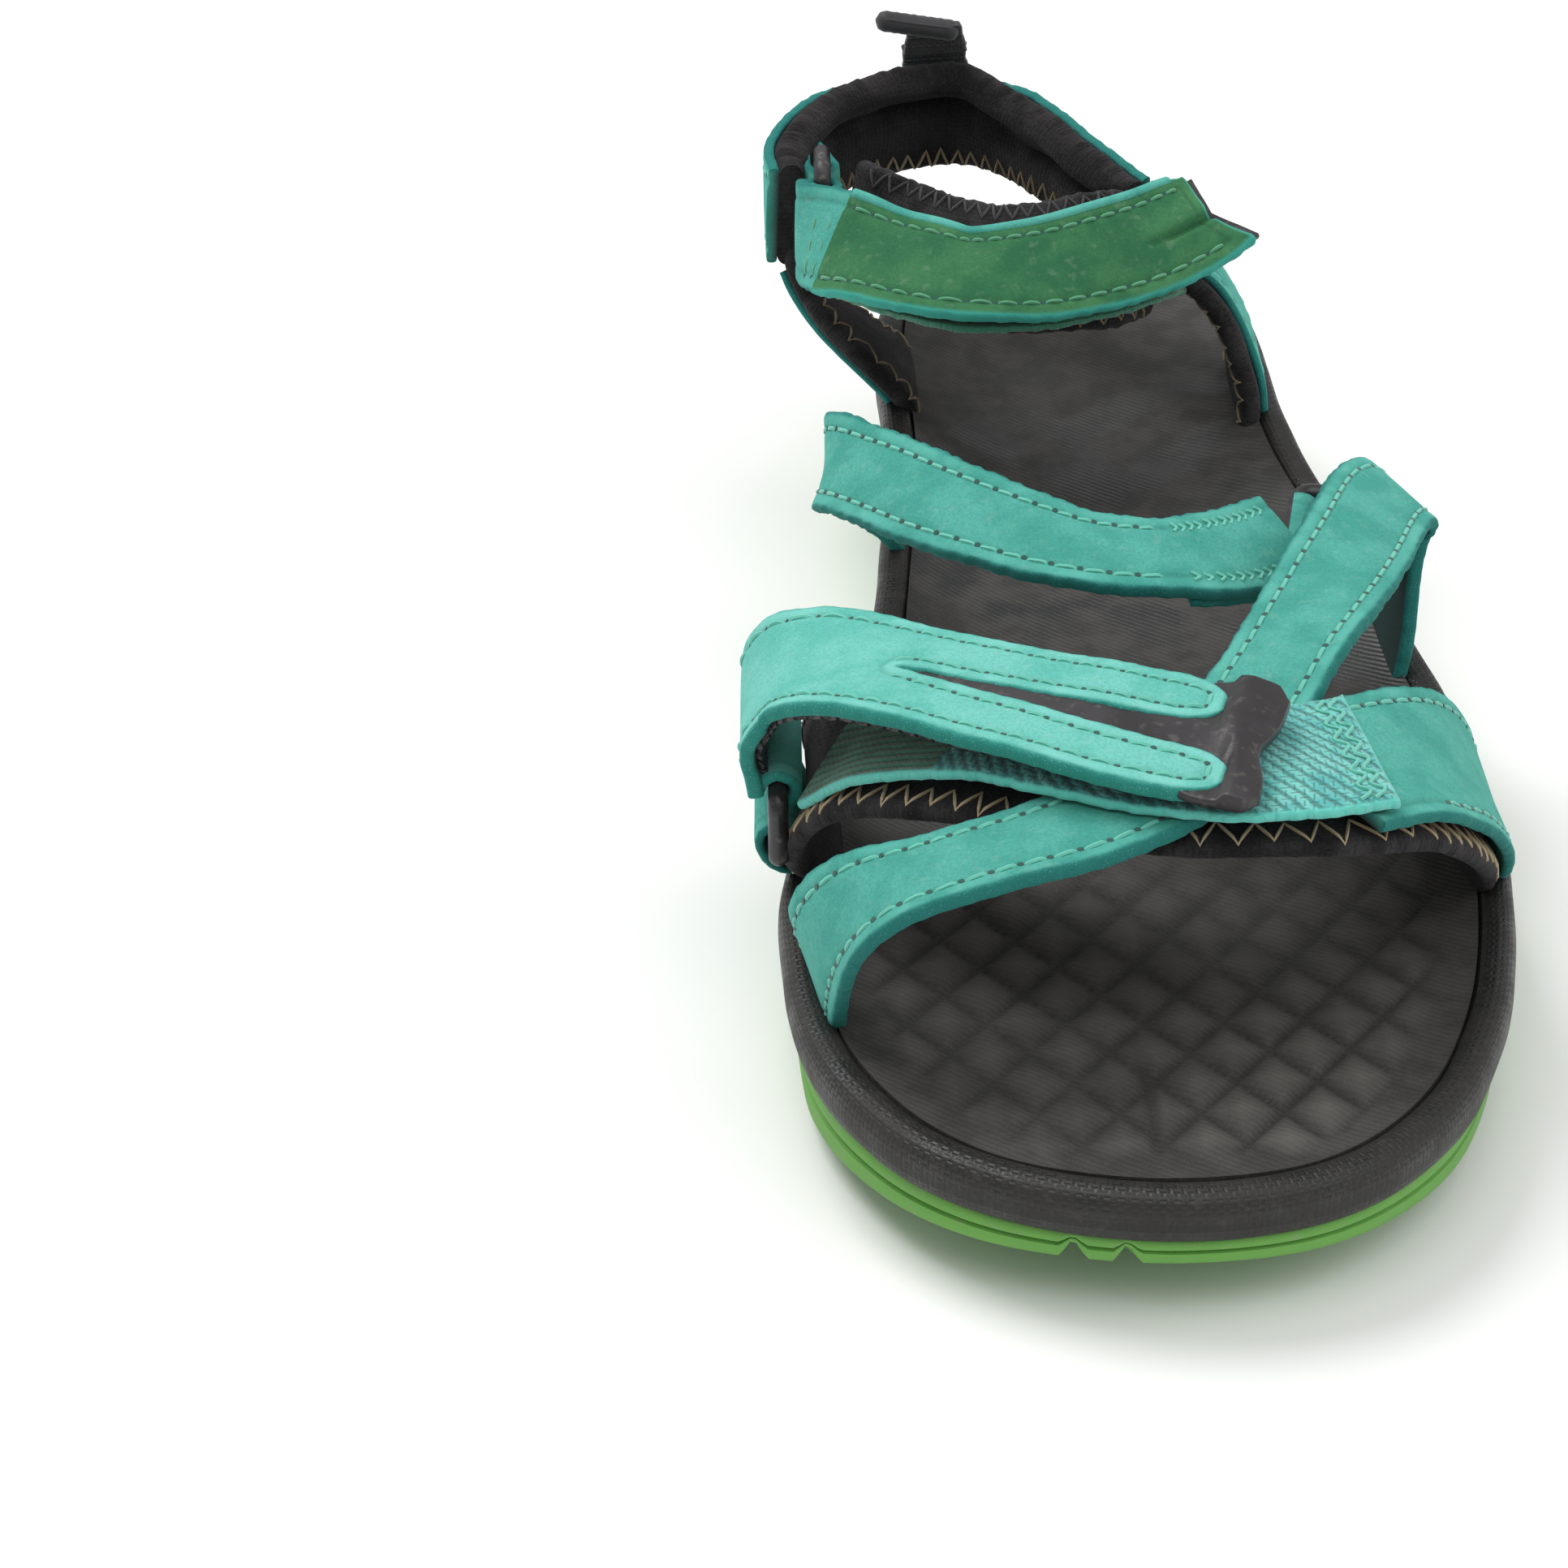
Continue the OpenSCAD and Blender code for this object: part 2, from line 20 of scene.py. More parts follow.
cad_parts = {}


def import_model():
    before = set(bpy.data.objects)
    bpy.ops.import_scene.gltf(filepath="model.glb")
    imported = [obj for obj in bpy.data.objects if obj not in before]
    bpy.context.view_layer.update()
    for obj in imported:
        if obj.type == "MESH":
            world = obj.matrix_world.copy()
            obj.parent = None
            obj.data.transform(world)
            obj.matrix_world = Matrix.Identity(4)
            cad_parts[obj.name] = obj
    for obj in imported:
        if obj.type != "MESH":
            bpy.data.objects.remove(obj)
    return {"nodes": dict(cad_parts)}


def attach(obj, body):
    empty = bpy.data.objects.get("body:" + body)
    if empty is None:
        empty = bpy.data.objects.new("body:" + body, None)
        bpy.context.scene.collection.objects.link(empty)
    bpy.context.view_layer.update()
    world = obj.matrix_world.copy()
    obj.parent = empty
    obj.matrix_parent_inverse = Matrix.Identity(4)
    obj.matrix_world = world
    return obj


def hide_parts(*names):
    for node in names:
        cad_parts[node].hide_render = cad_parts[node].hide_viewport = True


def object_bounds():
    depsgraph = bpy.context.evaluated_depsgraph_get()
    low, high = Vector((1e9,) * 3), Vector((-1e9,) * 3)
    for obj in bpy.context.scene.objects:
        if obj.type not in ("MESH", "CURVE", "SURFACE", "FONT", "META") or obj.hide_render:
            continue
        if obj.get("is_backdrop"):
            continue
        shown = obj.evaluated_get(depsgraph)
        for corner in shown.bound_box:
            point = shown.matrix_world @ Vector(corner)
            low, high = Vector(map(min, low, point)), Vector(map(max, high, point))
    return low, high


LOG = logging.getLogger("sandal")
MM = 0.001
SEAM = 2.4 * MM
Colour = tuple[float, float, float]
Curve = Callable[[np.ndarray], np.ndarray]


class Side(Enum):
    """The two long edges of a strap, for someone who walks along its outer face from its start."""

    RIGHT = -1
    LEFT = 1


class Body(Enum):
    """The CAD bodies that pieces ride on."""

    ROOT = "root"
    FOREFOOT_FLAP = "forefoot_flap"
    ANKLE_FLAP = "ankle_flap"
    PULL_TAB = "pull_tab"


def srgb(code: str) -> Colour:
    """Turns a colour code such as "58C3AE" into linear values.

    Args:
        code: Six hexadecimal digits.

    Returns:
        Linear red, green and blue, from 0 to 1.
    """
    parts = [int(code[i : i + 2], 16) / 255 for i in (0, 2, 4)]
    red, green, blue = (c / 12.92 if c <= 0.04045 else ((c + 0.055) / 1.055) ** 2.4 for c in parts)
    return red, green, blue


def smooth(low: float, high: float, value: np.ndarray) -> np.ndarray:
    """Rises smoothly from 0 at low to 1 at high."""
    t = np.clip((np.asarray(value, float) - low) / (high - low), 0, 1)
    return t * t * (3 - 2 * t)


def unit(v: np.ndarray) -> np.ndarray:
    """Scales vectors, one per row, to length 1."""
    return v / np.maximum(np.linalg.norm(v, axis=-1, keepdims=True), 1e-12)


def spline(p: np.ndarray, steps: int, closed: bool = False) -> np.ndarray:
    """Passes a smooth curve through points.

    Args:
        p: The points, one per row.
        steps: How many stretches each gap is cut into.
        closed: Whether the last point joins the first.

    Returns:
        The points of the curve, one per row.
    """
    n = len(p)
    pad = np.vstack([p[-1:], p, p[:2]]) if closed else np.vstack([2 * p[0] - p[1], p, 2 * p[-1] - p[-2]])
    spans = n if closed else n - 1
    t = np.arange(steps)[:, None] / steps
    out = []
    for i in range(spans):
        a, b, c, d = pad[i], pad[i + 1], pad[i + 2], pad[i + 3]
        square, cube = 2 * a - 5 * b + 4 * c - d, 3 * b - 3 * c + d - a
        out.append(0.5 * (2 * b + (c - a) * t + square * t**2 + cube * t**3))
    return np.vstack(out if closed else [*out, p[-1:]])


def grid_faces(rows: int, columns: int, closed: bool = False) -> list[tuple[int, ...]]:
    """The faces between points laid out in rows.

    Args:
        rows: How many rows there are.
        columns: How many points a row holds.
        closed: Whether each row's last point joins its first.

    Returns:
        The faces.
    """
    faces = []
    for here in range(0, (rows - 1) * columns, columns):
        for k in range(columns if closed else columns - 1):
            j = (k + 1) % columns
            faces.append((here + k, here + j, here + columns + j, here + columns + k))
    return faces


# ---------------------------------------------------------------- shapes


class Shape:
    """Collects the faces of one piece, with the values that its material reads."""

    def __init__(self, name: str) -> None:
        """Starts an empty piece.

        Args:
            name: The name of the piece.
        """
        self.name = name
        self._verts: list[np.ndarray] = []
        self._faces: list[tuple[int, ...]] = []
        self._tints: list[int] = []
        self._marks: dict[str, list[np.ndarray]] = {"edge": [], "back": []}
        self._lay: list[np.ndarray] = []
        self._count = 0

    def add(
        self,
        verts: np.ndarray,
        faces: Iterable[Sequence[int]],
        tint: int = 0,
        lay: np.ndarray | None = None,
        edge: np.ndarray | None = None,
        back: np.ndarray | None = None,
    ) -> None:
        """Adds a closed solid to the piece.

        Args:
            verts: Its points, one per row.
            faces: Its faces, counted from the first of those points.
            tint: Which of the piece's materials it takes.
            lay: Place along the strap, across it and in from its edge, for each point.
            edge: 1 on a cut edge, 0 elsewhere, for each point; the footbed cloth puts its lattice's
                groove depth here, for its painted shade.
            back: 1 on the underside, 0 elsewhere, for each point; the footbed cloth puts its diamonds'
                height here, for its painted highlight.
        """
        n = len(verts)
        made = [tuple(self._count + i for i in f) for f in faces]
        self._verts.append(np.asarray(verts, float))
        self._faces += made
        self._tints += [tint] * len(made)
        self._lay.append(np.zeros((n, 3)) if lay is None else lay)
        for key, value in (("edge", edge), ("back", back)):
            self._marks[key].append(np.zeros(n) if value is None else value)
        self._count += n

    def tube(self, points: np.ndarray, radius: float | np.ndarray, sides: int = 8, tint: int = 0) -> None:
        """Adds a round bar or thread along points, closed at both ends.

        Args:
            points: The middle line, one point per row.
            radius: Its radius, or one radius for each point.
            sides: How many sides its section has.
            tint: Which of the piece's materials it takes.
        """
        p = np.asarray(points, float)
        r = np.broadcast_to(np.asarray(radius, float), (len(p),))
        along = unit(np.gradient(p, axis=0))
        normal = unit(np.cross(along[0], [0.31, 0.17, 0.93]))
        turns = 2 * math.pi * np.arange(sides) / sides
        rings = []
        for i, t in enumerate(along):
            normal = unit(normal - (normal @ t) * t)
            side = np.cross(t, normal)
            rings.append(p[i] + r[i] * (np.outer(np.cos(turns), normal) + np.outer(np.sin(turns), side)))
        faces = [tuple(reversed(range(sides))), tuple((len(p) - 1) * sides + k for k in range(sides))]
        self.add(np.vstack(rings), faces + grid_faces(len(p), sides, closed=True), tint)

    def disc(self, centre: np.ndarray, normal: np.ndarray, radius: float, depth: float, tint: int) -> None:
        """Adds a small flat dot, such as a needle hole.

        Args:
            centre: Its middle.
            normal: The way it faces.
            radius: Its radius.
            depth: Its thickness.
            tint: Which of the piece's materials it takes.
        """
        half = normal * depth / 2
        self.tube(np.array([centre - half, centre + half]), radius, 7, tint)

    def build(
        self, materials: Sequence[bpy.types.Material], body: Body, slot: str, replaces: Sequence[str] = ()
    ) -> bpy.types.Object:
        """Makes the Blender object and hands it to the frame.

        Args:
            materials: The materials that the tints count through.
            body: The CAD body that the piece rides on.
            slot: The record's material slot; not used.
            replaces: The CAD nodes that the piece stands for.

        Returns:
            The finished piece.
        """
        verts = np.vstack(self._verts)
        mesh = bpy.data.meshes.new(self.name)
        mesh.from_pydata(verts.tolist(), [], self._faces)
        mesh.polygons.foreach_set("material_index", self._tints)
        mesh.polygons.foreach_set("use_smooth", [True] * len(self._faces))
        for key, values in self._marks.items():
            mesh.attributes.new(key, "FLOAT", "POINT").data.foreach_set("value", np.concatenate(values))
        lay = mesh.attributes.new("lay", "FLOAT_VECTOR", "POINT")
        lay.data.foreach_set("vector", np.vstack(self._lay).ravel())
        mesh.set_sharp_from_angle(angle=math.radians(52))
        mesh.validate()
        mesh.update()
        piece = bpy.data.objects.new(self.name, mesh)
        bpy.context.scene.collection.objects.link(piece)
        for material in materials:
            mesh.materials.append(material)
        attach(piece, body.value)
        if replaces:
            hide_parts(*replaces)
        LOG.info("built %s: %d faces on %s", self.name, len(self._faces), body.value)
        return piece


@dataclass
class Band:
    """A strap's middle line, read back from its CAD solid.

    Attributes:
        points: The middle line, one point per row.
        out: The way that the strap's outer face looks, at each point.
        half: Half its width, at each point.
        thick: Its thickness.
    """

    points: np.ndarray
    out: np.ndarray
    half: np.ndarray
    thick: float
    run: np.ndarray = field(init=False)

    def __post_init__(self) -> None:
        """Measures the run along the middle line."""
        steps = np.linalg.norm(np.diff(self.points, axis=0), axis=1)
        self.run = np.concatenate([[0.0], np.cumsum(steps)])

    @property
    def length(self) -> float:
        """Length along the middle line."""
        return float(self.run[-1])

    @classmethod
    def read(cls, node: str, begins: Sequence[float], inside: Sequence[float], at: float = 0.5) -> Band:
        """Reads a strap's rings of four corners from its CAD mesh, and smooths them.

        Args:
            node: The CAD node's name.
            begins: A point near the end where the strap begins.
            inside: A point on the inner side of the strap, which the outer face looks away from.
            at: How far along the strap that point lies, from 0 to 1.

        Returns:
            The strap's middle line.
        """
        mesh = NODES[node].data
        co = np.array([v.co for v in mesh.vertices], float)
        corners, index = np.unique(np.round(co, 7), axis=0, return_inverse=True)
        index = index.ravel()
        near: list[set[int]] = [set() for _ in corners]
        for e in mesh.edges:
            a, b = index[e.vertices[0]], index[e.vertices[1]]
            if a != b:
                near[a].add(b)
                near[b].add(a)
        ends = [i for i, n in enumerate(near) if len(n) < 6]
        first = min(ends, key=lambda i: np.linalg.norm(corners[i] - np.array(begins)))
        ring = [first, *[i for i in ends if i in near[first]]]
        ring += [i for i in ends if i not in ring and all(i in near[k] for k in ring[1:3])]
        rings, seen = [], set()
        while ring:
            rings.append(corners[ring[:4]])
            seen |= set(ring)
            ring = sorted({k for i in ring for k in near[i]} - seen)
        middle, out, half, thick = [], [], [], 0.0
        for r in rings:
            gaps = np.linalg.norm(r - r[0], axis=1)
            partner = int(np.argsort(gaps)[1])
            others = [i for i in range(4) if i not in (0, partner)]
            normal = unit(r[0] - r[partner])
            width = (r[others[0]] + r[others[1]]) / 2 - (r[0] + r[partner]) / 2
            if out and normal @ out[-1] < 0:
                normal = -normal
            middle.append(r.mean(axis=0))
            out.append(normal)
            half.append(np.linalg.norm(width) / 2)
            thick = float(gaps[partner])
        k = int(at * (len(middle) - 1))
        sign = 1.0 if out[k] @ (middle[k] - np.array(inside)) > 0 else -1.0
        rows = spline(np.column_stack([middle, sign * np.array(out), half]), 5)
        return cls(rows[:, :3], unit(rows[:, 3:6]), rows[:, 6], thick)

    def half_at(self, u: np.ndarray) -> np.ndarray:
        """Half the width at distances along the strap."""
        return self.frame(u)[3]

    def frame(self, u: np.ndarray) -> tuple[np.ndarray, np.ndarray, np.ndarray, np.ndarray]:
        """Gives the strap's frame at distances along it, also a little past its ends.

        Args:
            u: Distances along the strap.

        Returns:
            The middle points, the ways across, the ways out and the half widths.
        """
        u = np.asarray(u, float)
        c = np.column_stack([np.interp(u, self.run, self.points[:, i]) for i in range(3)])
        o = unit(np.column_stack([np.interp(u, self.run, self.out[:, i]) for i in range(3)]))
        along = unit(np.gradient(self.points, self.run, axis=0))
        t = unit(np.column_stack([np.interp(u, self.run, along[:, i]) for i in range(3)]))
        past = np.maximum(u - self.length, 0) + np.minimum(u, 0)
        c = c + past[:, None] * t
        across = unit(np.cross(o, t))
        return c, across, o, np.interp(u, self.run, self.half)


def level(value: float) -> Curve:
    """A value that stays the same along a strap."""
    return lambda u: np.full_like(np.asarray(u, float), value)


@dataclass(frozen=True)
class Strip:
    """One tongue of a ribbon: where it runs, and how wide it is.

    Attributes:
        breaks: Distances along the strap that rows must fall on, from its start to its end.
        centre: The tongue's middle across the strap.
        half: Half the tongue's width.
        caps: Whether each end is a free cut edge.
        joined: The side that is one with the next tongue up to the slit, if any.
        slit: Distance along the strap where the slit between the two starts.
    """

    breaks: tuple[float, ...]
    centre: Curve
    half: Curve
    caps: tuple[bool, bool] = (False, False)
    joined: Side | None = None
    slit: float = 0.0

    @classmethod
    def plain(
        cls, band: Band, *breaks: float, trim: float = 0.0, caps: tuple[bool, bool] = (False, False)
    ) -> Strip:
        """A tongue along the middle of a band.

        Args:
            band: The band.
            *breaks: Distances along it that rows must fall on, from the tongue's start to its end.
            trim: How much narrower than the band it is on each side.
            caps: Whether each end is a free cut edge.

        Returns:
            The tongue.
        """
        return cls(breaks, level(0), lambda u: band.half_at(u) - trim, caps)

    def inset(self, u: float, v: np.ndarray, p: float) -> np.ndarray:
        """Distance in from the nearest edge.

        Args:
            u: Distance along the strap.
            v: Distances across the tongue, from its middle.
            p: Half the tongue's width there.

        Returns:
            The distances, one for each place across.
        """
        gaps = {Side.RIGHT: v + p, Side.LEFT: p - v}
        if self.joined and u < self.slit:
            gaps[self.joined] = np.hypot(gaps[self.joined], self.slit - u)
        d = np.minimum(gaps[Side.RIGHT], gaps[Side.LEFT])
        if self.caps[0]:
            d = np.minimum(d, u - self.breaks[0])
        if self.caps[1]:
            d = np.minimum(d, self.breaks[-1] - u)
        return np.maximum(d, 0)


@dataclass(frozen=True)
class Section:
    """How thick a ribbon is, and how its surface rises and dips.

    Attributes:
        thick: Thickness.
        lift: How far its middle stands off the strap's own.
        edge_radius: Radius of the cut edges.
        crown: How much the face swells between its edges.
        seam: Distance of the stitch rows from the edge, or 0 for none.
        dip: How deep the stitching pulls the face in.
        pitch: Distance from one stitch to the next.
        wave: How much the strap waves along its length.
        fray: How uneven its cut edges are.
        step: Length of a row of faces.
        inner: How many columns of points lie between the two seams.
    """

    thick: float = 2.0 * MM
    lift: float = 0.0
    edge_radius: float = 0.55 * MM
    crown: float = 0.25 * MM
    seam: float = SEAM
    dip: float = 0.34 * MM
    pitch: float = 3.2 * MM
    wave: float = 0.14 * MM
    fray: float = 0.08 * MM
    step: float = 0.8 * MM
    inner: int = 5

    def rise(self, u: np.ndarray, d: np.ndarray) -> np.ndarray:
        """Height of the face above the ribbon's middle.

        Args:
            u: Distance along the strap.
            d: Distance in from the edge.

        Returns:
            The height, at each place.
        """
        r = self.edge_radius
        inward = np.clip(d, 0, r)
        h = self.thick / 2 - (r - np.sqrt(np.maximum(r * r - (r - inward) ** 2, 0)))
        h = h + self.crown * (1 - np.exp(-np.maximum(d, 0) / (3 * MM)))
        if self.seam:
            pull = 0.7 + 0.3 * np.cos(2 * math.pi * u / self.pitch)
            h = h - self.dip * pull * np.exp(-(((d - self.seam) / (0.55 * MM)) ** 2))
        return h


class Ribbon:
    """A strap with finished faces, on the line of a band."""

    STITCH = (-0.9, 0.1, 0.45, 0.5, 0.45, 0.1, -0.9)
    HOLE = 0.42 * MM
    EDGE_COLUMNS = np.array([0, 0.12, 0.3, 0.55, 0.9, 1.4, 1.85, 2.15, 2.4, 2.65, 2.95, 3.5]) * MM

    def __init__(
        self,
        band: Band,
        section: Section,
        strips: Sequence[Strip] | None = None,
        relief: Callable[[np.ndarray, np.ndarray], np.ndarray] | None = None,
        warp: Callable[[np.ndarray, np.ndarray], tuple[np.ndarray, np.ndarray]] | None = None,
    ) -> None:
        """Sets out a ribbon.

        Args:
            band: The strap's line.
            section: Its thickness and surface.
            strips: Its tongues, or None for one that runs the strap's whole length and width.
            relief: Extra height of the face at a place along and across it.
            warp: Moves a place along and across before it is set on the strap.
        """
        self.band = band
        self.section = section
        self.strips = list(strips) if strips else [Strip.plain(band, 0.0, band.length)]
        self.relief = relief
        self.warp = warp

    def place(self, u: np.ndarray, v: np.ndarray, w: np.ndarray) -> np.ndarray:
        """Sets places on the strap.

        Args:
            u: Distance along it.
            v: Distance across it.
            w: Height above the ribbon's middle.

        Returns:
            The points, one per row.
        """
        u, v, w = (np.atleast_1d(np.asarray(x, float)) for x in (u, v, w))
        if self.warp:
            u, v = self.warp(u, v)
        c, across, out, _ = self.band.frame(u)
        s = self.section
        sway = s.wave * (0.6 * np.sin(u / (4.1 * MM)) + 0.4 * np.sin(u / (2.3 * MM) + 260 * v))
        lie = (w + s.lift + sway * smooth(0, 12 * MM, u))[:, None]
        return c + across * v[:, None] + out * lie

    def face(
        self, u: np.ndarray, v: np.ndarray, d: np.ndarray, above: float | np.ndarray = 0.0
    ) -> np.ndarray:
        """Points on the outer face, or above it.

        Args:
            u: Distance along the strap.
            v: Distance across it.
            d: Distance in from the edge.
            above: How far above the face.

        Returns:
            The points, one per row.
        """
        u, v = np.atleast_1d(u), np.atleast_1d(v)
        high = self.section.rise(u, d) + (self.relief(u, v) if self.relief else 0)
        return self.place(u, v, high + above)

    def _rows(self, strip: Strip) -> np.ndarray:
        """Distances along the strap where a tongue has rows."""
        rows = [np.array([strip.breaks[0]])]
        for a, b in zip(strip.breaks, strip.breaks[1:]):
            rows.append(np.linspace(a, b, max(2, round((b - a) / self.section.step) + 1))[1:])
        fine = np.array([0.12, 0.35]) * MM
        if strip.caps[0]:
            rows.append(strip.breaks[0] + fine)
        if strip.caps[1]:
            rows.append(strip.breaks[-1] - fine)
        return np.unique(np.round(np.concatenate(rows), 8))

    def add_to(self, shape: Shape, tint: int = 0) -> None:
        """Adds the ribbon, as one closed solid, to a piece.

        Args:
            shape: The piece.
            tint: Which of the piece's materials it takes.
        """
        keys: dict[tuple[int, int], int] = {}
        spots: list[tuple[float, float, float]] = []
        faces: list[list[int]] = []
        for strip in self.strips:
            rows = self._rows(strip)
            columns = self.EDGE_COLUMNS
            grid: list[list[int]] = []
            for u, p, c in zip(rows, strip.half(rows), strip.centre(rows)):
                side = columns * min(1.0, p / (columns[-1] * 1.05))
                inner = np.linspace(side[-1], 2 * p - side[-1], self.section.inner + 2)[1:-1]
                v = np.concatenate([side, inner, (2 * p - side)[::-1]]) - p
                line = []
                for vi, di in zip(v + c, strip.inset(u, v, p)):
                    key = (round(u * 1e7), round(vi * 1e7))
                    if key not in keys:
                        keys[key] = len(spots)
                        spots.append((u, vi, di))
                    line.append(keys[key])
                grid.append(line)
            for a, b in zip(grid, grid[1:]):
                for k in range(len(a) - 1):
                    quad = [a[k], b[k], b[k + 1], a[k + 1]]
                    face = [q for i, q in enumerate(quad) if q != quad[i - 1]]
                    if len(set(face)) >= 3:
                        faces.append(face)
        self._solid(shape, tint, np.array(spots), faces)

    def _solid(self, shape: Shape, tint: int, spots: np.ndarray, faces: list[list[int]]) -> None:
        """Thickens a flat pattern into a closed solid and adds it to a piece.

        Args:
            shape: The piece.
            tint: Which of the piece's materials it takes.
            spots: Place along, across and in from the edge, for each point of the pattern.
            faces: The pattern's faces.
        """
        u, v, d = spots.T
        n = len(spots)
        s = self.section
        rim = 1 - smooth(0, 0.9 * MM, d)
        ripples = np.sin(u / (0.61 * MM)) + np.sin(u / (0.37 * MM) + 2) + np.sin(u / (1.7 * MM))
        wobble = s.fray * rim * ripples
        v = v + wobble * np.sign(v)
        top = self.face(u, v, d)
        under = self.place(u, v, -replace(s, seam=0.0, crown=0.0).rise(u, d))
        border: dict[tuple[int, int], int] = {}
        for f in faces:
            for i, a in enumerate(f):
                b = f[(i + 1) % len(f)]
                if (b, a) in border:
                    del border[(b, a)]
                else:
                    border[(a, b)] = 1
        walls = [[b, a, a + n, b + n] for a, b in border]
        flipped = [[q + n for q in reversed(f)] for f in faces]
        lay = np.column_stack([u, v, d])
        edge = 1 - smooth(0.15 * MM, 0.75 * MM, d)
        back = np.where(d > 0.2 * MM, 1.0, 0.0)
        shape.add(
            np.vstack([top, under]),
            [*faces, *flipped, *walls],
            tint,
            np.vstack([lay, lay]),
            np.concatenate([edge, edge]),
            np.concatenate([np.zeros(n), back]),
        )

    def sew(
        self, shape: Shape, path: np.ndarray, tint: int, holes: int | None = None, thread: float = 0.3 * MM
    ) -> None:
        """Sews a row of stitches into the face.

        Args:
            shape: The piece that the thread is part of.
            path: Places along and across, one per row.
            tint: Which of the piece's materials the thread takes.
            holes: Which one the needle holes take, or None for no holes.
            thread: The thread's radius.
        """
        steps = np.linalg.norm(np.diff(path, axis=0), axis=1)
        run = np.concatenate([[0.0], np.cumsum(steps)])
        pitch = self.section.pitch
        shape_of_stitch = np.array(self.STITCH) * thread
        for k in range(int(run[-1] / pitch)):
            s = (k + np.linspace(0.14, 0.86, len(shape_of_stitch))) * pitch
            u, v = np.interp(s, run, path[:, 0]), np.interp(s, run, path[:, 1])
            shape.tube(self.face(u, v, np.full_like(u, self.section.seam), shape_of_stitch), thread, 6, tint)
            if holes is not None:
                u, v = np.interp(k * pitch, run, path[:, 0]), np.interp(k * pitch, run, path[:, 1])
                inset = np.array([self.section.seam])
                here, over = (self.face(u, v, inset, above)[0] for above in (0.02 * MM, 1 * MM))
                # Each needle hole is a dark disc: painted shade standing in for the hole.
                shape.disc(here, unit(over - here), self.HOLE, 0.12 * MM, holes)

    def side_path(self, strip: Strip, side: Side, start: float, end: float, inset: float) -> np.ndarray:
        """A path that keeps its distance from one side of a tongue.

        Args:
            strip: The tongue.
            side: Which side.
            start: Where the path starts along the strap.
            end: Where it ends.
            inset: Its distance from that side.

        Returns:
            Places along and across, one per row.
        """
        u = np.linspace(start, end, max(4, int(abs(end - start) / (0.7 * MM))))
        v = strip.centre(u) + side.value * np.maximum(strip.half(u) - inset, 0)
        return np.column_stack([u, v])

    def zigzag(
        self,
        shape: Shape,
        side: Side,
        start: float,
        end: float,
        tint: int,
        deep: float = 4.2 * MM,
        pitch: float = 3.1 * MM,
    ) -> None:
        """Sews an overlocking zigzag along one edge.

        Args:
            shape: The piece that the thread is part of.
            side: Which edge.
            start: Where it starts along the strap.
            end: Where it ends.
            tint: Which of the piece's materials the thread takes.
            deep: How far in from the edge the zigzag reaches.
            pitch: Distance from one point to the next.
        """
        count = int((end - start) / pitch * 2)
        turns = np.arange(count + 1)
        knots = start + (turns + 0.12 * np.sin(turns * 1.7)) * pitch / 2
        inset = np.where(turns % 2, deep, 0.5 * MM) + 0.25 * MM * np.sin(turns * 2.3)
        fine = np.arange(0, count + 0.01, 0.25)
        u, d = np.interp(fine, turns, knots), np.interp(fine, turns, inset)
        half = self.band.half_at(u)
        bounce = 0.12 * MM * np.abs(np.sin(np.arange(len(u)) * math.pi / 4))
        shape.tube(self.face(u, side.value * (half - d), d, bounce), 0.22 * MM, 6, tint)


def dome(half: Curve, end: float, radius: float) -> Curve:
    """Rounds a tongue's tip.

    Args:
        half: Half its width before rounding.
        end: Where it ends along the strap.
        radius: Length of the rounded stretch.

    Returns:
        Half its width with the tip rounded.
    """

    def rounded(u: np.ndarray) -> np.ndarray:
        """Half the width at distances along the strap."""
        t = np.clip((u - (end - radius)) / radius, 0, 1)
        return half(u) * np.power(np.maximum(1 - t**2.4, 0), 1 / 2.4)

    return rounded


# ---------------------------------------------------------------- finishes


